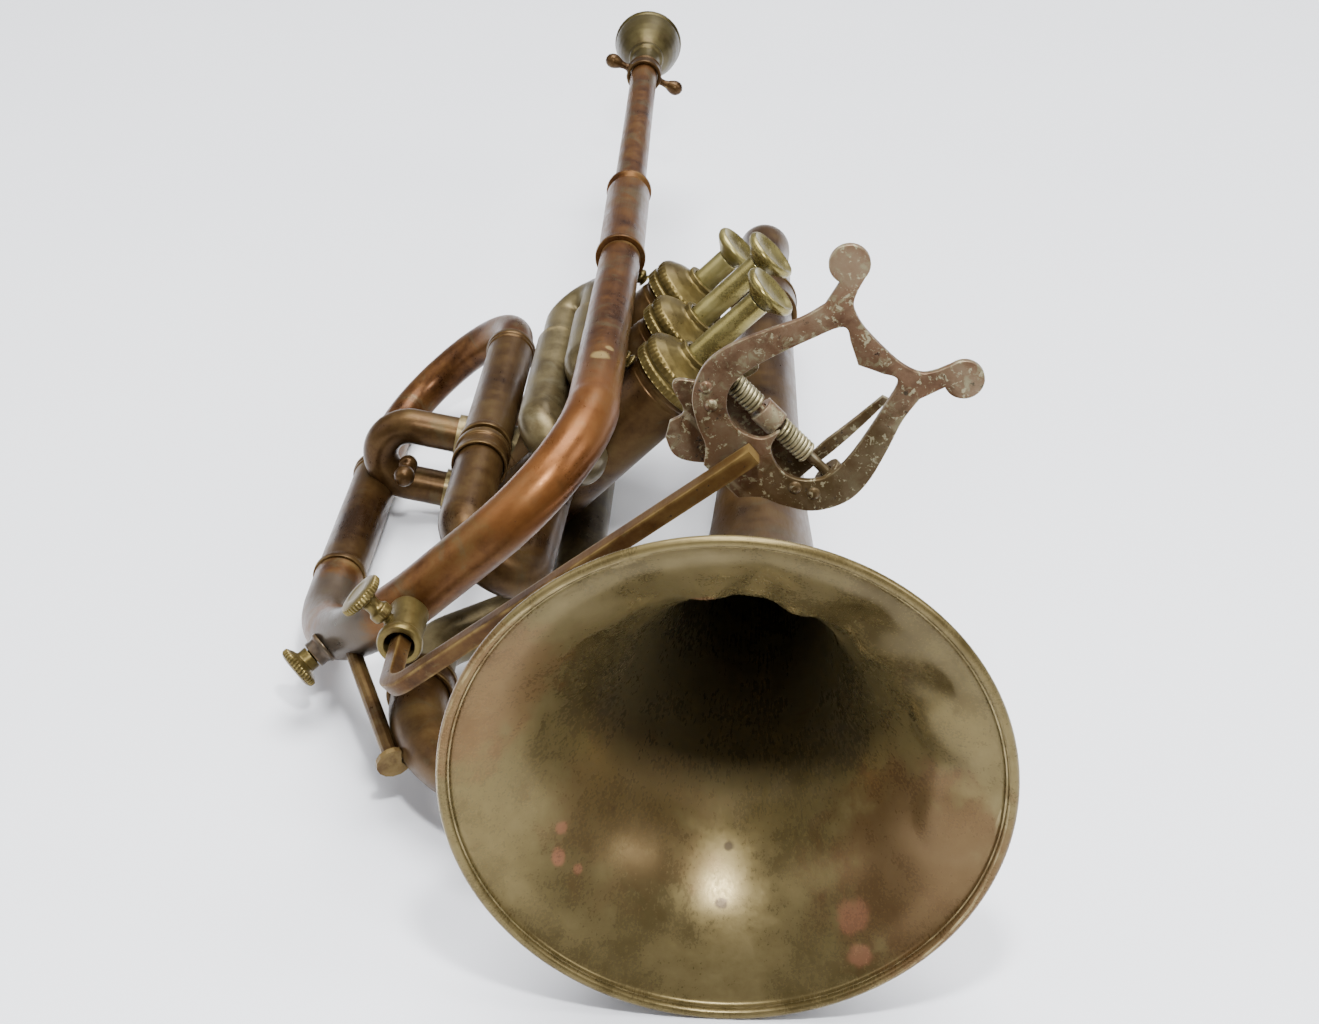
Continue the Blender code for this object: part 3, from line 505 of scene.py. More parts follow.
def sleeve_profile(outer, inner, length, bead=0.0, width=2.0):
    """Profile of a straight sleeve with an optional raised ring at each end."""
    if not bead:
        return [(outer, length), (outer, 0.0), (inner, 0.0), (inner, length)]
    return [(outer + bead, length), (outer + bead, length - width), (outer, length - width),
            (outer, width), (outer + bead, width), (outer + bead, 0.0), (inner, 0.0),
            (inner, length)]


def smooth_line(knots, steps=6):
    """Points on a smooth line through flat knots."""
    points = []
    for index in range(len(knots) - 1):
        p0 = knots[max(index - 1, 0)]
        p1, p2 = knots[index], knots[index + 1]
        p3 = knots[min(index + 2, len(knots) - 1)]
        for step in range(steps):
            t = step / steps
            points.append(tuple(
                0.5 * (2 * b + (c - a) * t + (2 * a - 5 * b + 4 * c - d) * t * t
                       + (3 * b - a - 3 * c + d) * t ** 3)
                for a, b, c, d in zip(p0, p1, p2, p3)))
    points.append(tuple(knots[-1]))
    return points


# ---- bell -------------------------------------------------------------------------------
# Outer surface of the flare: (distance behind the rim, radius).
BELL_PROFILE = [(0.1, 58.0), (1.3, 57.6), (2.8, 55.3), (5.2, 50.9), (9.0, 46.1), (14, 41.1),
                (21, 35.8), (30, 30.4), (42, 25.4), (57, 20.8), (76, 16.7), (100, 13.5),
                (132, 11.6), (180, 10.1), (262.0, 8.6)]
BELL_WALL = 0.7
STEM_X, STEM_Z = 4.0, 5.0        # the stem's axis lies this far from the rim's centre
STEM_FROM = 110.0                # and the flare has reached it this far behind the rim
# Dents and creases in the flare: (distance behind the rim, angle, reach along, reach round,
# depth); a negative depth is a crest between two dents.
BELL_DENTS = [
    (13, 172, 8, 13, 1.0), (10, 157, 7, 10, -0.9), (14, 143, 8, 12, 1.9), (10, 128, 8, 9, -1.3),
    (14, 114, 8, 11, 2.3), (10, 100, 8, 9, -1.6), (13, 87, 9, 11, 2.7), (9, 73, 7, 9, -1.7),
    (9, 59, 8, 12, 2.4), (5, 45, 6, 9, -1.1), (7, 31, 7, 13, 1.4), (16, 118, 6, 48, 1.0),
]


def build_bell():
    """The flare with its dents, the rolled rim and the ferrule on the stem."""
    line = smooth_line(BELL_PROFILE, 8)
    sides = 168
    rows = []
    for inner in (False, True):
        for run, radius in (reversed(line) if inner else line):
            lean = min(1.0, run / STEM_FROM)
            lean = lean * lean * (3 - 2 * lean)
            row = []
            for step in range(sides):
                angle = 2 * math.pi * step / sides
                size = radius - (BELL_WALL if inner else 0.0)
                spot = Vector((math.cos(angle) * size, run, math.sin(angle) * size))
                size += 0.12 * noise.noise(spot * 0.05) * min(1.0, run / 8.0)
                for place, turn, long, wide, depth in BELL_DENTS:
                    round_off = (math.degrees(angle) - turn + 180) % 360 - 180
                    near = ((run - place) / long) ** 2 + (round_off / wide) ** 2
                    if near < 1.0:
                        size -= depth * (1 - near) ** 2 * min(1.0, (run - 1.5) / 2.5)
                row.append(Vector((STEM_X * lean + math.cos(angle) * size, run,
                                   STEM_Z * lean + math.sin(angle) * size)))
            rows.append(row)
    verts = [point for row in rows for point in row]
    flare = add_piece("bell_flare", verts, ring_faces(len(rows), sides), "bell")
    flare.data.materials.append(FINISHES["brown_brass"])   # the flare is browner outside
    for face in flare.data.polygons:
        spot = PLACE.inverted() @ face.center / MM
        lean = min(1.0, spot.y / STEM_FROM)
        outward = Vector((spot.x - STEM_X * lean, 0, spot.z - STEM_Z * lean))
        facing = (PLACE.to_3x3().inverted() @ face.normal).dot(outward.normalized())
        face.material_index = 1 if facing > 0.1 and spot.y > 1.5 else 0

    wire = []
    for step in range(24):
        angle = 2 * math.pi * step / 24
        wire.append((58.8 + 1.2 * math.cos(angle), 1.2 * math.sin(angle)))
    lathe("rolled_rim", wire, (0, 0, 0), (0, 1, 0), soft=0.01, steps=192, cad="bell_rim_wire")
    lathe("stem_ferrule", sleeve_profile(10.2, 8.9, 12.0, 0.35, 1.6), (STEM_X, 255, STEM_Z),
          (0, 1, 0), cad="bell_stem_ferrule")


# ---- bows under and behind the bell -----------------------------------------------------
RING = Vector((-28.5, 95, -83))  # where the branch meets the front bow


def build_bows():
    """The rear bow, the front bow and their ferrules."""
    back = Vector((STEM_X, 0, STEM_Z))
    front = Vector((29.5, 0, -20.5))
    radius = 0.5 * (front - back).length
    top = 310.0
    route = [back + Vector((0, 262.3, 0)), back + Vector((0, top + radius, 0)),
             front + Vector((0, top + radius, 0)), front + Vector((0, 120, 0))]
    tube("rear_bow", rounded_path(route, (radius, radius), 24), (8.6, 7.4),
         cad="bell_rear_bow", dents=[((12, 300, 9), 12, 0.5)])
    low_leg = [front + Vector((0, 119.7, 0)), front + Vector((0, 48, 0)),
               Vector((RING.x, 48, RING.z)), RING]
    reach = 0.5 * (front - Vector((RING.x, 0, RING.z))).length
    tube("front_bow_tube", rounded_path(low_leg, (reach, reach), 28), (7.6, 7.4), cad="front_bow",
         dents=[((-20, 30, -75), 14, 0.6), ((-2, 8, -60), 16, 0.5)])
    lathe("front_bow_ring_left", sleeve_profile(8.4, 7.9, 9.0, 0.3, 1.4),
          front + Vector((0, 115.5, 0)), (0, 1, 0), cad="front_bow_ferrule_left")
    lathe("front_bow_ring_right", sleeve_profile(8.3, 7.7, 7.5, 0.5, 1.6),
          RING + Vector((0, -4, 0)), (0, 1, 0), cad="front_bow_ferrule_right")


# ---- valves -----------------------------------------------------------------------------
PRESSED = {1: 13.0, 2: 0.0, 3: 0.0}
CASING_FOOT, CASING_TOP = -74.0, -6.0
PISTON_TOP = -3.0                # of a valve that isn't pressed
BUTTON_RISE = 33.0               # height of its finger button's rim
OVERLAP = 0.3                    # how far a stem starts above its piston and enters its button


def build_valve_spring(number, y):
    """The coil under a piston that is not pressed, at its full length."""
    low, height, radius, turns, per_turn = -73.8, 35.6, 5.8, 5, 18
    route = []
    for step in range(turns * per_turn + 1):
        angle = 2 * math.pi * step / per_turn
        route.append((VALVE_X + radius * math.cos(angle), y + radius * math.sin(angle),
                      low + height * step / (turns * per_turn)))
    spring = tube(f"coil_{number}", route, 0.55, wall=None, sides=8, gap=3.0, uneven=0.0,
                  cad=f"valve_spring_{number}")
    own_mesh(spring)


def build_valves():
    """Casings, caps with their knurled edges, piston stems and finger buttons."""
    for number, y in VALVE_Y.items():
        casing = [(11.3, 73), (11.3, 66.5), (11.05, 66.1), (11.05, 64.9), (11.3, 64.5),
                  (11.3, 9.5), (11.6, 9.2), (11.6, 7.6), (11.3, 7.3), (11.3, 0), (10.3, 0),
                  (10.3, 73)]
        lathe(f"casing_{number}", casing, (VALVE_X, y, CASING_FOOT), (0, 0, 1), steps=72,
              cad=f"valve_casing_{number}")
        top = [(5.5, 11.5), (5.5, 9.9), (6.3, 9.3), (9.7, 8.0), (12.1, 6.5), (12.7, 5.6),
               (12.7, 3.9), (12.2, 3.6), (12.2, 2.6), (12.7, 2.3), (12.7, 0), (11.6, 0),
               (11.6, 5.3), (3.9, 5.3), (3.9, 11.5)]
        lathe(f"top_cap_{number}", top, (VALVE_X, y, CASING_TOP), (0, 0, 1),
              knurl=(0.2, 6.0, 12.5, 44, 0.22), cad=f"valve_top_cap_{number}")
        bottom = [(10.0, 3.5), (10.0, -0.3), (11.1, -0.3), (11.1, -1.6), (10.5, -2.8),
                  (5.0, -2.8), (4.4, -2.4), (1.0, -2.4), (1.0, -1.2), (8.8, -1.2), (8.8, 3.5)]
        lathe(f"bottom_cap_{number}", bottom, (VALVE_X, y, CASING_FOOT), (0, 0, 1),
              knurl=(-1.8, -0.3, 11.0, 40, 0.2), cad=f"valve_bottom_cap_{number}")
        lift = BUTTON_RISE - PRESSED[number]
        foot = PISTON_TOP - PRESSED[number] + OVERLAP
        length = lift - 5.0 - foot + OVERLAP
        stem = [(3.6, length), (3.6, 1.6), (6.0, 1.2), (6.0, 0), (1.2, 0), (1.2, length)]
        lathe(f"stem_{number}", stem, (VALVE_X, y, foot), (0, 0, 1),
              cad=f"piston_stem_{number}")
        button = [(0.0, -0.35), (3.0, -0.3), (5.6, 0.1), (6.8, 0.75), (7.5, 0.95), (8.05, 0.3),
                  (8.2, -0.3), (7.8, -1.4), (5.8, -3.0), (4.6, -3.8), (4.4, -4.2), (0.0, -4.2)]
        if not PRESSED[number]:
            build_valve_spring(number, y)
        lathe(f"button_{number}", button, (VALVE_X, y, lift), (0, 0, 1), closed=False, soft=0.4,
              steps=72, cad=f"finger_button_{number}")


# ---- mouthpipe and leadpipe -------------------------------------------------------------
MOUTHPIECE = Vector((-50.5, 461.0, -7.4))
LEADPIPE_START = Vector((-44.1, 238.0, -8.7))
PIPE_AXIS = (MOUTHPIECE - LEADPIPE_START).normalized()


def build_mouthpipe():
    """Mouthpiece, wing nut, sliding mouthpipe and the sleeve that it slides in."""
    cup = [(11.0, 0.0), (12.2, -0.45), (12.9, -1.4), (13.0, -2.4), (12.7, -3.4), (12.2, -4.0),
           (12.5, -5.0), (12.4, -6.6), (12.0, -9.0), (11.2, -12.2), (10.0, -15.4), (8.6, -18.0),
           (7.0, -20.2), (6.3, -21.2), (6.6, -22.2), (6.3, -23.4), (5.3, -24.4), (4.9, -26.0),
           (4.3, -29.0), (4.0, -32.0), (3.9, -52.0), (2.6, -52.0), (1.9, -18.5), (4.2, -14.0),
           (7.4, -8.0), (8.6, -2.2), (9.6, -0.6)]
    lathe("mouthpiece_cup", cup, MOUTHPIECE, PIPE_AXIS, soft=0.5, steps=96, cad="mouthpiece")
    route = [MOUTHPIECE - PIPE_AXIS * behind for behind in (33, 93, 208)]
    tube("mouthpipe_tube", route, (4.9, 4.9, 5.2), wall=0.6, cad="mouthpipe", uneven=0.03)
    nut = MOUTHPIECE - PIPE_AXIS * 45
    spread = Vector((0.93, 0.02, 0.366))
    ear = [(0.0, 15.6), (1.0, 15.4), (1.9, 14.8), (2.5, 13.9), (2.75, 12.8), (2.6, 11.7),
           (2.1, 10.5), (1.5, 9.4), (1.25, 8.0), (1.3, 6.9), (2.0, 6.0), (0.0, 5.6)]
    ears = [lathe_shape(ear, nut + PIPE_AXIS * 3.5, spread * side, closed=False, steps=36)
            for side in (-1, 1)]
    barrel = [(6.3, 7.0), (6.6, 6.2), (6.2, 5.4), (6.2, 1.6), (6.6, 0.8), (6.3, 0.0), (5.2, 0.0),
              (5.2, 7.0)]
    lathe("wing_nut", barrel, nut, PIPE_AXIS, cad="mouthpipe_wing_nut", extra=ears)
    sleeve = [(7.3, 58.0), (7.3, 56.4), (6.0, 55.8), (6.0, 53.4), (6.9, 52.6), (6.9, 2.0),
              (7.6, 2.0), (7.6, 0.0), (5.5, 0.0), (5.5, 58.0)]
    lathe("pipe_sleeve", sleeve, LEADPIPE_START, PIPE_AXIS, cad="mouthpipe_sleeve")


def build_leadpipe():
    """The leadpipe's long bend with the boss of the drain plug, and the plug itself."""
    corners = [LEADPIPE_START - PIPE_AXIS * 0.3, (-44.3, 99.5, -8.5), (-49.6, 97.0, -107.6),
               (-50.0, 154.0, -107.6)]
    route = rounded_path(corners, (33.0, 44.0), 28)
    radii = [6.1, 6.7] + [7.0] * (len(route) - 2)
    tube("leadpipe_tube", route, radii, sides=56, gap=2.0, cad="leadpipe", uneven=0.09,
         dents=[((-50, 82, -40), 10, 0.35), ((-51, 97, -97), 9, 0.4)])
    foot = (-49.9, 110.4, -95.0)
    aim = (-0.17, -0.47, -0.865)
    boss = [(4.4, 6.0), (3.8, 6.6), (3.6, 7.4), (3.6, 9.1), (2.2, 9.1), (2.2, 5.6), (4.4, 5.2)]
    lathe("drain_boss", boss, foot, aim, cad="leadpipe")
    plug = [(0.0, 15.0), (2.2, 15.1), (3.0, 15.4), (4.4, 15.35), (5.3, 15.0), (5.9, 14.4),
            (5.9, 13.2), (4.9, 12.6), (4.2, 12.2), (3.1, 11.8), (3.1, 9.4), (1.9, 9.4),
            (1.9, 7.6), (0.0, 7.6)]
    lathe("drain_plug_knob", plug, foot, aim, closed=False, knurl=(12.9, 14.9, 5.4, 36, 0.3),
          cad="drain_plug")


def loop_sleeve(length):
    """Profile of a sleeve of the tuning loop, with a stepped ring at each end."""
    return [(7.6, length), (7.6, length - 2), (7.3, length - 2.4), (7.3, length - 3.4),
            (6.9, length - 3.8), (6.9, 3.6), (7.3, 3.2), (7.3, 2.4), (7.6, 2.0), (7.6, 0),
            (6.2, 0), (6.2, length)]


def build_tuning_loop():
    """The tuning slide, its two sleeves and the pipe on to the third valve."""
    lower = Vector((-50.0, 0, -107.6))
    upper = Vector((-46.0, 0, -54.6))
    reach = 0.5 * (upper - lower).length
    top = 244.0 + reach
    lathe("loop_sleeve_lower", loop_sleeve(66), lower + Vector((0, 154.3, 0)), (0, 1, 0),
          cad="tuning_sleeve_lower")
    lathe("loop_sleeve_upper", loop_sleeve(68), upper + Vector((0, 170, 0)), (0, 1, 0),
          cad="tuning_sleeve_upper")
    route = [lower + Vector((0, 178, 0)), lower + Vector((0, top, 0)), upper + Vector((0, top, 0)),
             upper + Vector((0, 184, 0))]
    tube("loop_slide", rounded_path(route, (reach, reach), 24), 5.9, cad="tuning_slide",
         uneven=0.04)
    inlet = [upper + Vector((0, 169.7, 0)), upper + Vector((0, 116, 0)), (-25.0, 116.0, -52.5),
             (-24.0, 176.0, -50.5)]
    tube("inlet_pipe", rounded_path(inlet, (10.4, 10.4), 16), (6.7, 6.5), seat=3,
         cad="valve_inlet_pipe")
    ferrule = [(7.8, 9.0), (7.8, 7.0), (7.2, 6.6), (7.2, 2.4), (7.8, 2.0), (7.8, 0.0),
               (7.0, 0.0), (7.0, 9.0)]
    lathe("inlet_ferrule", ferrule, upper + Vector((0, 158, 0)), (0, 1, 0),
          cad="valve_inlet_ferrule")


# ---- branch and valve slides ------------------------------------------------------------
SLIDE_RADIUS, SLEEVE_RADIUS = 5.3, 6.3
END_RING = ((1.2, 1.2, 0.4),)    # a small soldered ring at a sleeve's mouth


def build_slides():
    """The branch to the front bow and the three valve slides."""
    corners = [(-17, 236, -59), (-3.6, 236, -59), (-3.6, 148, -59), (-28.5, 116, -83),
               RING + Vector((0, 0.3, 0))]
    tube("branch_pipe", rounded_path(corners, (9.0, 24.0, 14.0), 12), (6.5, 6.9), seat=1,
         cad="valve_branch")
    for label, z in (("upper", -47.0), ("lower", -65.0)):
        tube(f"first_sleeve_{label}", [(VALVE_X, 298, z), (VALVE_X, 242, z)], SLEEVE_RADIUS,
             seat=1, bulges=END_RING, cad=f"slide_1_sleeve_{label}")
    route = [(VALVE_X, 272, -47), (VALVE_X, 323, -47), (VALVE_X, 323, -65), (VALVE_X, 272, -65)]
    tube("first_bow", rounded_path(route, (9.0, 9.0)), SLIDE_RADIUS, cad="slide_1_bow",
         uneven=0.03)

    along = Vector((-0.83, 0.0, -0.5577)).normalized()
    across = Vector((-along.z, 0.0, along.x))
    centre = Vector((-42.3, 208.0, -84.0))
    reach = 9.4
    lower = centre + across * reach
    upper = centre - across * reach
    tube("second_sleeve_upper", [upper - along * 3, upper - along * 24], SLEEVE_RADIUS, seat=2,
         bulges=END_RING, cad="slide_2_sleeve_upper")
    elbow = lower - along * ((VALVE_X - lower.x) / -along.x)
    route = rounded_path([lower - along * 2, elbow, (VALVE_X, 208.0, -77.2)], (6.9,))
    tube("second_sleeve_lower", route, SLEEVE_RADIUS, bulges=END_RING,
         cad="slide_2_sleeve_lower")
    route = [upper - along * 12.5, upper + along * 18.8, lower + along * 18.8,
             lower - along * 12.5]
    tube("second_bow", rounded_path(route, (reach, reach)), SLIDE_RADIUS, cad="slide_2_bow",
         uneven=0.03)
    knob = [(0.0, 12.6), (1.1, 12.5), (2.1, 12.0), (2.8, 10.9), (3.1, 9.4), (2.8, 7.9), (2.1, 6.9),
            (1.5, 6.3), (1.3, 4.6), (1.6, 3.8), (2.6, 3.2), (2.9, 1.6), (2.4, 0.0), (0.0, 0.0)]
    lathe("second_pull_knob", knob, centre + along * reach + Vector((0, -5.1, 0)), (0, -1, 0),
          closed=False, cad="slide_2_bow")

    upper, lower = Vector((-40, 0, -21.6)), Vector((-42, 0, -35.2))
    route = [upper + Vector((0, 218, 0)), upper + Vector((0, 180, 0)), (-26, 180, -21.6)]
    tube("third_sleeve_upper", rounded_path(route, (7.0,)), SLEEVE_RADIUS, seat=3,
         bulges=END_RING, cad="slide_3_sleeve_upper")
    route = [lower + Vector((0, 218, 0)), lower + Vector((0, 158, 0)), (-25.5, 158, -35.2),
             (-25, 176, -35.2)]
    tube("third_sleeve_lower", rounded_path(route, (8.1, 8.1)), SLEEVE_RADIUS, seat=3,
         bulges=END_RING, cad="slide_3_sleeve_lower")
    reach = 0.5 * (upper - lower).length
    route = [upper + Vector((0, 200, 0)), upper + Vector((0, 234 + reach, 0)),
             lower + Vector((0, 234 + reach, 0)), lower + Vector((0, 200, 0))]
    tube("third_bow", rounded_path(route, (reach, reach)), SLIDE_RADIUS, cad="slide_3_bow",
         uneven=0.03)


# ---- braces and lyre socket -------------------------------------------------------------
def build_braces():
    """Turned posts between the tubes, the lyre's socket and its thumb screw."""
    post = [(0.0, 4.0), (2.2, 4.0), (2.1, 3.7), (1.5, 3.3), (2.2, 2.8), (2.6, 2.0), (2.2, 1.2),
            (1.5, 0.7), (2.1, 0.3), (2.2, 0.0), (0.0, 0.0)]
    lathe("post_upper", post, (-36.8, 243.0, -10.0), (1, 0, 0), closed=False, cad="brace_upper")
    balls = [(0.0, 3.2), (1.6, 3.2), (2.3, 2.8), (2.4, 2.3), (1.5, 1.6), (2.4, 1.0), (2.3, 0.5),
             (1.6, 0.0), (0.0, 0.0)]
    lathe("post_lower", balls, (-36.9, 178.0, -9.4), (1, 0, 0), closed=False, cad="brace_lower")
    socket = [(5.0, 16.0), (5.0, 3.4), (5.4, 2.9), (5.7, 2.2), (5.7, 0.9), (5.3, 0.0), (3.8, 0.0),
              (3.8, 16.0)]
    lathe("rod_socket", socket, (-47.0, 76.0, -67.0), (0, 1, 0), cad="lyre_socket")
    screw = [(0.0, 15.1), (2.6, 15.2), (3.4, 15.4), (4.6, 15.3), (5.5, 15.1), (6.1, 14.6),
             (6.1, 13.3), (5.4, 12.8), (4.6, 12.5), (3.6, 12.3), (2.6, 12.0), (2.1, 11.0),
             (2.0, 9.6), (2.3, 8.8), (2.9, 8.4), (2.9, 6.6), (2.6, 6.0), (1.6, 5.9), (1.6, 3.8),
             (0.0, 3.8)]
    lathe("thumb_screw", screw, (-47.0, 83.0, -67.0), (-1, 0, 0), closed=False,
          knurl=(13.1, 14.8, 5.6, 40, 0.28), cad="lyre_thumb_screw")


# ---- lyre -------------------------------------------------------------------------------
LYRE_X = -33.1                   # middle of the plate
LYRE_Y = 55.5                    # its thickness is centred here
PIN_Z = 45.7                     # the hinge pin lies across the plate's back
PIN_Y = LYRE_Y + 4.0
SPRING_RADIUS = 2.15


def arc(centre, radius, start, end, steps):
    """Points on a flat arc, from one angle to another, in degrees."""
    points = []
    for step in range(steps + 1):
        angle = math.radians(start + (end - start) * step / steps)
        points.append((centre[0] + radius * math.cos(angle), centre[1] + radius * math.sin(angle)))
    return points


def plate(name, loops, thickness, y, cad, edge=0.22, extra=()):
    """A plate cut from sheet with softened edges; extra shapes are soldered or riveted to it."""
    curve = bpy.data.curves.new(name, "CURVE")
    curve.dimensions = "2D"
    curve.fill_mode = "BOTH"
    curve.extrude = 0.5 * thickness - edge
    curve.bevel_depth = edge
    curve.bevel_resolution = 2
    curve.offset = -edge
    for loop in loops:
        spline = curve.splines.new("POLY")
        spline.points.add(len(loop) - 1)
        for knot, (u, v) in zip(spline.points, loop):
            knot.co = (u, v, 0.0, 1.0)
        spline.use_cyclic_u = True
    holder = bpy.data.objects.new(name, curve)
    bpy.context.scene.collection.objects.link(holder)
    bpy.context.view_layer.update()
    graph = bpy.context.evaluated_depsgraph_get()
    flat = bpy.data.meshes.new_from_object(holder.evaluated_get(graph))
    bpy.data.objects.remove(holder)
    verts = [Vector((LYRE_X + spot.co.x, y - spot.co.z, spot.co.y)) for spot in flat.vertices]
    faces = [tuple(face.vertices) for face in flat.polygons]
    return add_piece(name, *joined(verts, faces, extra), cad)


def coil(name, start, end, cad):
    """A close-wound spring round the lyre's hinge pin."""
    turns, per_turn = 9, 20
    route = []
    for step in range(turns * per_turn + 1):
        angle = 2 * math.pi * step / per_turn
        route.append((start + (end - start) * step / (turns * per_turn),
                      PIN_Y + SPRING_RADIUS * math.cos(angle),
                      PIN_Z + SPRING_RADIUS * math.sin(angle)))
    tube(name, route, 0.42, wall=None, sides=10, gap=1.0, uneven=0.0, cad=cad)


def build_lyre():
    """Square rod, plate with rivets and lugs, jaw, pin and springs."""
    corners = [(-47.0, 89.0, -67.0), (-47.0, 54.0, -66.0), (-34.4, 51.3, 40.0)]
    tube("rod", rounded_path(corners, (7.0,), 14), 2.8, wall=None, sides=32, gap=3.0,
         uneven=0.04, square=True, cad="lyre_rod")
    arm = smooth_line([(5.5, 28.8), (8.7, 32.4), (13.5, 34.6), (19.2, 38.6), (22.4, 45.2),
                       (22.1, 52.0), (19.3, 60.0), (16.2, 67.4), (14.9, 73.4)])
    curl = arc((18.0, 83.2), 4.4, -110, 175, 26)
    bar = smooth_line([(12.6, 80.6), (10.6, 77.6), (6.0, 76.0), (0.0, 75.7)])
    half = arm + curl + bar
    outline = half + [(-u, v) for u, v in reversed(half[:-1])]
    inner = smooth_line([(0.0, 46.4), (1.6, 42.2), (6.6, 40.2), (11.2, 41.4), (14.6, 45.2),
                         (15.2, 50.0), (14.2, 56.0), (11.4, 65.6), (8.6, 72.8), (4.6, 71.4),
                         (0.0, 69.2)])
    window = inner + [(-u, v) for u, v in reversed(inner[1:-1])]
    rivet = [(0.0, 0.75), (0.7, 0.65), (1.25, 0.35), (1.5, 0.0), (1.5, -0.5), (0.0, -0.5)]
    fixings = [lathe_shape(rivet, (x, LYRE_Y - 0.8, z), (0, -1, 0), closed=False, soft=0.1,
                           steps=28)
               for x, z in ((-51.7, 42.1), (-47.9, 40.0), (-21.0, 39.6), (-17.1, 41.6))]
    lug = [(3.6, 1.2), (3.6, 0.0), (1.45, 0.0), (1.45, 1.2)]
    fixings += [lathe_shape(lug, (start, PIN_Y, PIN_Z), (1, 0, 0), soft=0.15, steps=40)
                for start in (-50.6, -17.6)]
    plate("lyre_front", [outline, window], 1.6, LYRE_Y, "lyre_plate", extra=fixings)

    tab = smooth_line([(14.0, 44.0), (14.2, 50.0), (14.0, 58.0), (13.4, 66.5)], 4)
    inner = smooth_line([(11.8, 66.0), (11.6, 57.0), (11.2, 50.0), (10.6, 43.4), (3.4, 42.4)], 4)
    foot = smooth_line([(-13.6, 24.6), (-9.4, 23.0), (-5.0, 25.0), (3.0, 32.4), (14.0, 38.0)], 4)
    left = smooth_line([(-12.8, 42.2), (-12.2, 46.4), (-11.4, 50.4), (-13.2, 52.0), (-15.2, 50.0),
                        (-15.4, 43.6), (-16.4, 40.6), (-21.6, 36.6), (-21.2, 34.2), (-15.4, 32.0),
                        (-15.8, 28.0)], 4)
    shape = foot + tab + inner + [(0.9, 42.4), (0.9, 47.6), (-4.6, 47.6), (-4.6, 42.4)] + left
    barrel = lathe_shape(sleeve_profile(3.0, 1.45, 5.0), (-38.4, PIN_Y, PIN_Z), (1, 0, 0),
                         soft=0.2, steps=40)
    plate("lyre_back_jaw", [shape], 1.3, PIN_Y + 3.5, "lyre_jaw", edge=0.18, extra=[barrel])
    pin = [(0.0, 34.8), (0.8, 34.8), (1.15, 34.4), (1.15, 0.4), (0.8, 0.0), (0.0, 0.0)]
    lathe("hinge_pin", pin, (-50.9, PIN_Y, PIN_Z), (1, 0, 0), closed=False, soft=0.1, steps=28,
          cad="lyre_hinge_pin")
    coil("spring_left", -48.6, -39.4, "lyre_spring_left")
    coil("spring_right", -32.4, -23.4, "lyre_spring_right")


# ---- table, light and camera ------------------------------------------------------------
def add_lamp(name, place, size, power, target):
    """A soft square light, size in metres and power in watts, aimed at a point."""
    lamp = bpy.data.lights.new(name, "AREA")
    lamp.size = size
    lamp.energy = power
    holder = bpy.data.objects.new(name, lamp)
    bpy.context.scene.collection.objects.link(holder)
    holder.location = place
    holder.rotation_euler = (target - Vector(place)).to_track_quat("-Z", "Y").to_euler()


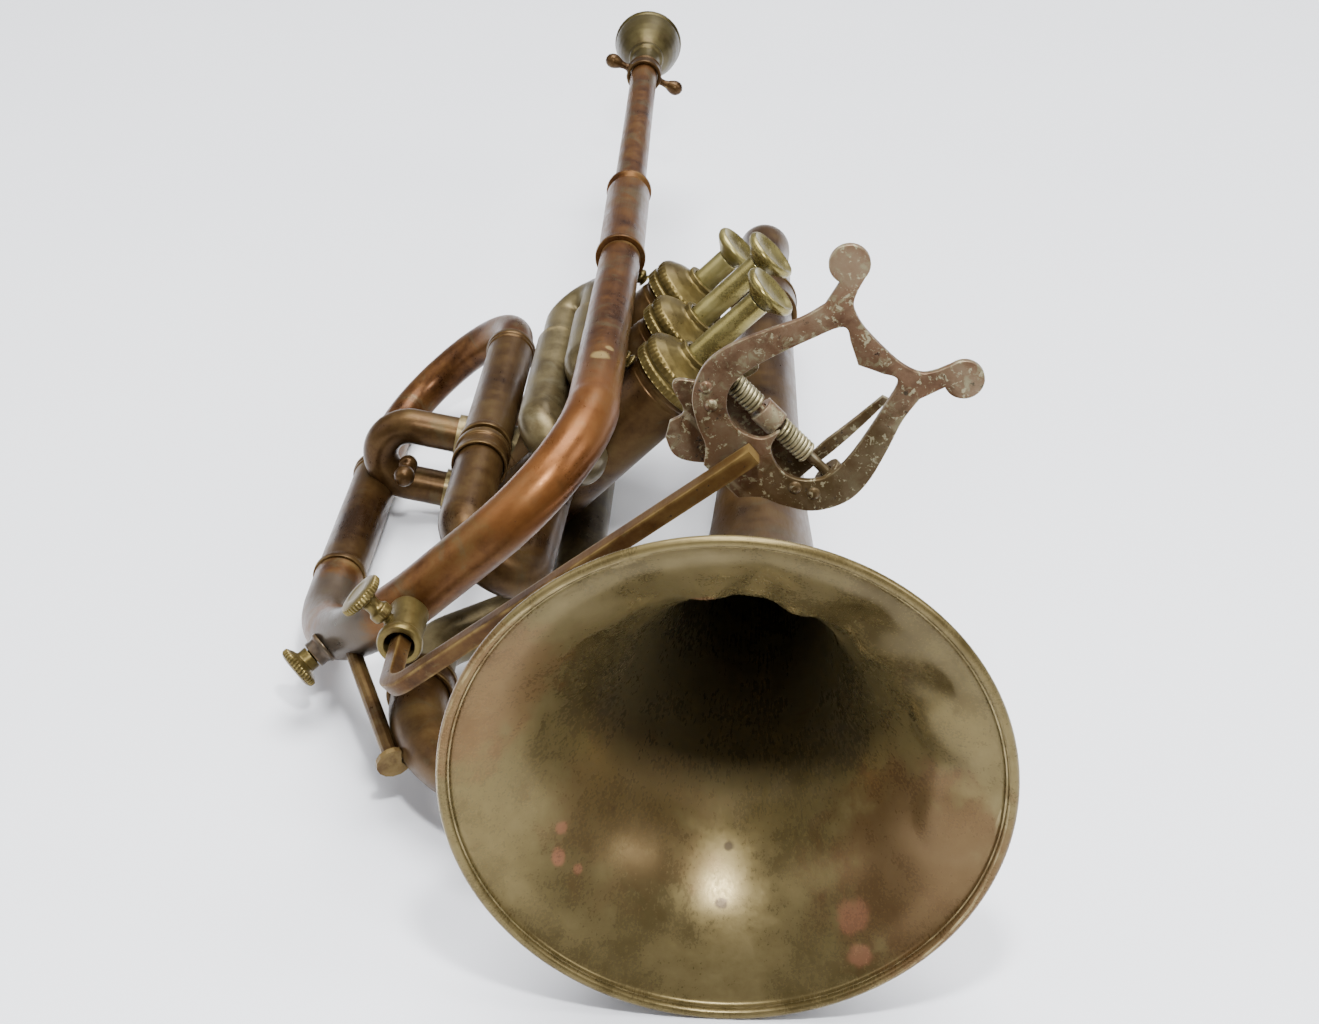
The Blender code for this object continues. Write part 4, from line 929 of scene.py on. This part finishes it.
def build_stage():
    """A plain pale table, a pale surrounding and soft lights."""
    mesh = bpy.data.meshes.new("table")
    mesh.from_pydata([(-4, -4, 0), (4, -4, 0), (4, 4, 0), (-4, 4, 0)], [], [(0, 1, 2, 3)])
    mesh.shade_smooth()
    table = bpy.data.objects.new("table", mesh)
    bpy.context.scene.collection.objects.link(table)
    cloth = bpy.data.materials.new("pale_table")
    cloth.use_nodes = True
    tree = cloth.node_tree
    shader = tree.nodes["Principled BSDF"]
    where = add_node(tree, "ShaderNodeTexCoord", {}).outputs["Object"]
    soft = cloud(tree, where, 6, 3, 0.5)
    tree.links.new(ramp(tree, soft, [(0.3, (0.88, 0.90, 0.95)), (0.7, (0.91, 0.93, 0.97))]),
                   shader.inputs["Base Color"])
    shader.inputs["Roughness"].default_value = 0.8
    table.data.materials.append(cloth)

    surround = bpy.data.worlds.new("surround")
    surround.use_nodes = True
    background = surround.node_tree.nodes["Background"]
    background.inputs["Color"].default_value = (0.93, 0.93, 1.0, 1.0)
    background.inputs["Strength"].default_value = 0.26
    bpy.context.scene.world = surround
    lights = [("above", (0.1, 0.2, 1.7), 1.1, 62.0), ("left", (-1.6, -0.3, 1.3), 1.6, 16.0),
              ("back", (0.5, 1.6, 1.6), 0.8, 10.0), ("right", (1.5, -0.4, 1.2), 0.8, 16.0)]
    for name, place, size, power in lights:
        add_lamp(name, place, size, power, Vector((0.0, -0.05, 0.05)))


VIEW_TILT = math.radians(27.78)  # the view looks down on the bell's axis
VIEW_SIDE = 0.0493               # and leans this much across it, as a sine
RIM_SEEN = (13.63, 57.65, 432.2)  # the rim's centre right of, below and ahead of the camera


def build_camera():
    """The camera stands above and in front of the bell and looks along the instrument; a small
    light above it gives the bright spot in the flare."""
    turn = math.asin(VIEW_SIDE / math.cos(SLOPE))
    tilt = VIEW_TILT + SLOPE
    ahead = Vector((-math.sin(turn) * math.cos(tilt), math.cos(turn) * math.cos(tilt),
                    -math.sin(tilt)))
    right = Vector((math.cos(turn), math.sin(turn), 0.0))
    down = ahead.cross(right)
    lens = bpy.data.cameras.new("camera")
    lens.lens = 57.316
    lens.sensor_width = 36.0
    lens.clip_start = 0.01
    lens.dof.use_dof = False
    camera = bpy.data.objects.new("camera", lens)
    bpy.context.scene.collection.objects.link(camera)
    place = RIM - (RIM_SEEN[0] * right + RIM_SEEN[1] * down + RIM_SEEN[2] * ahead) * MM
    facing = Matrix((right, -down, -ahead)).transposed().to_4x4()
    camera.matrix_world = Matrix.Translation(place) @ facing
    bpy.context.scene.camera = camera

    add_lamp("front", place + 0.028 * right - 0.21 * down + 0.1 * ahead, 0.045, 2.6, RIM)


build_bell()
build_bows()
build_valves()
build_mouthpipe()
build_leadpipe()
build_tuning_loop()
build_slides()
build_braces()
build_lyre()
build_stage()
build_camera()
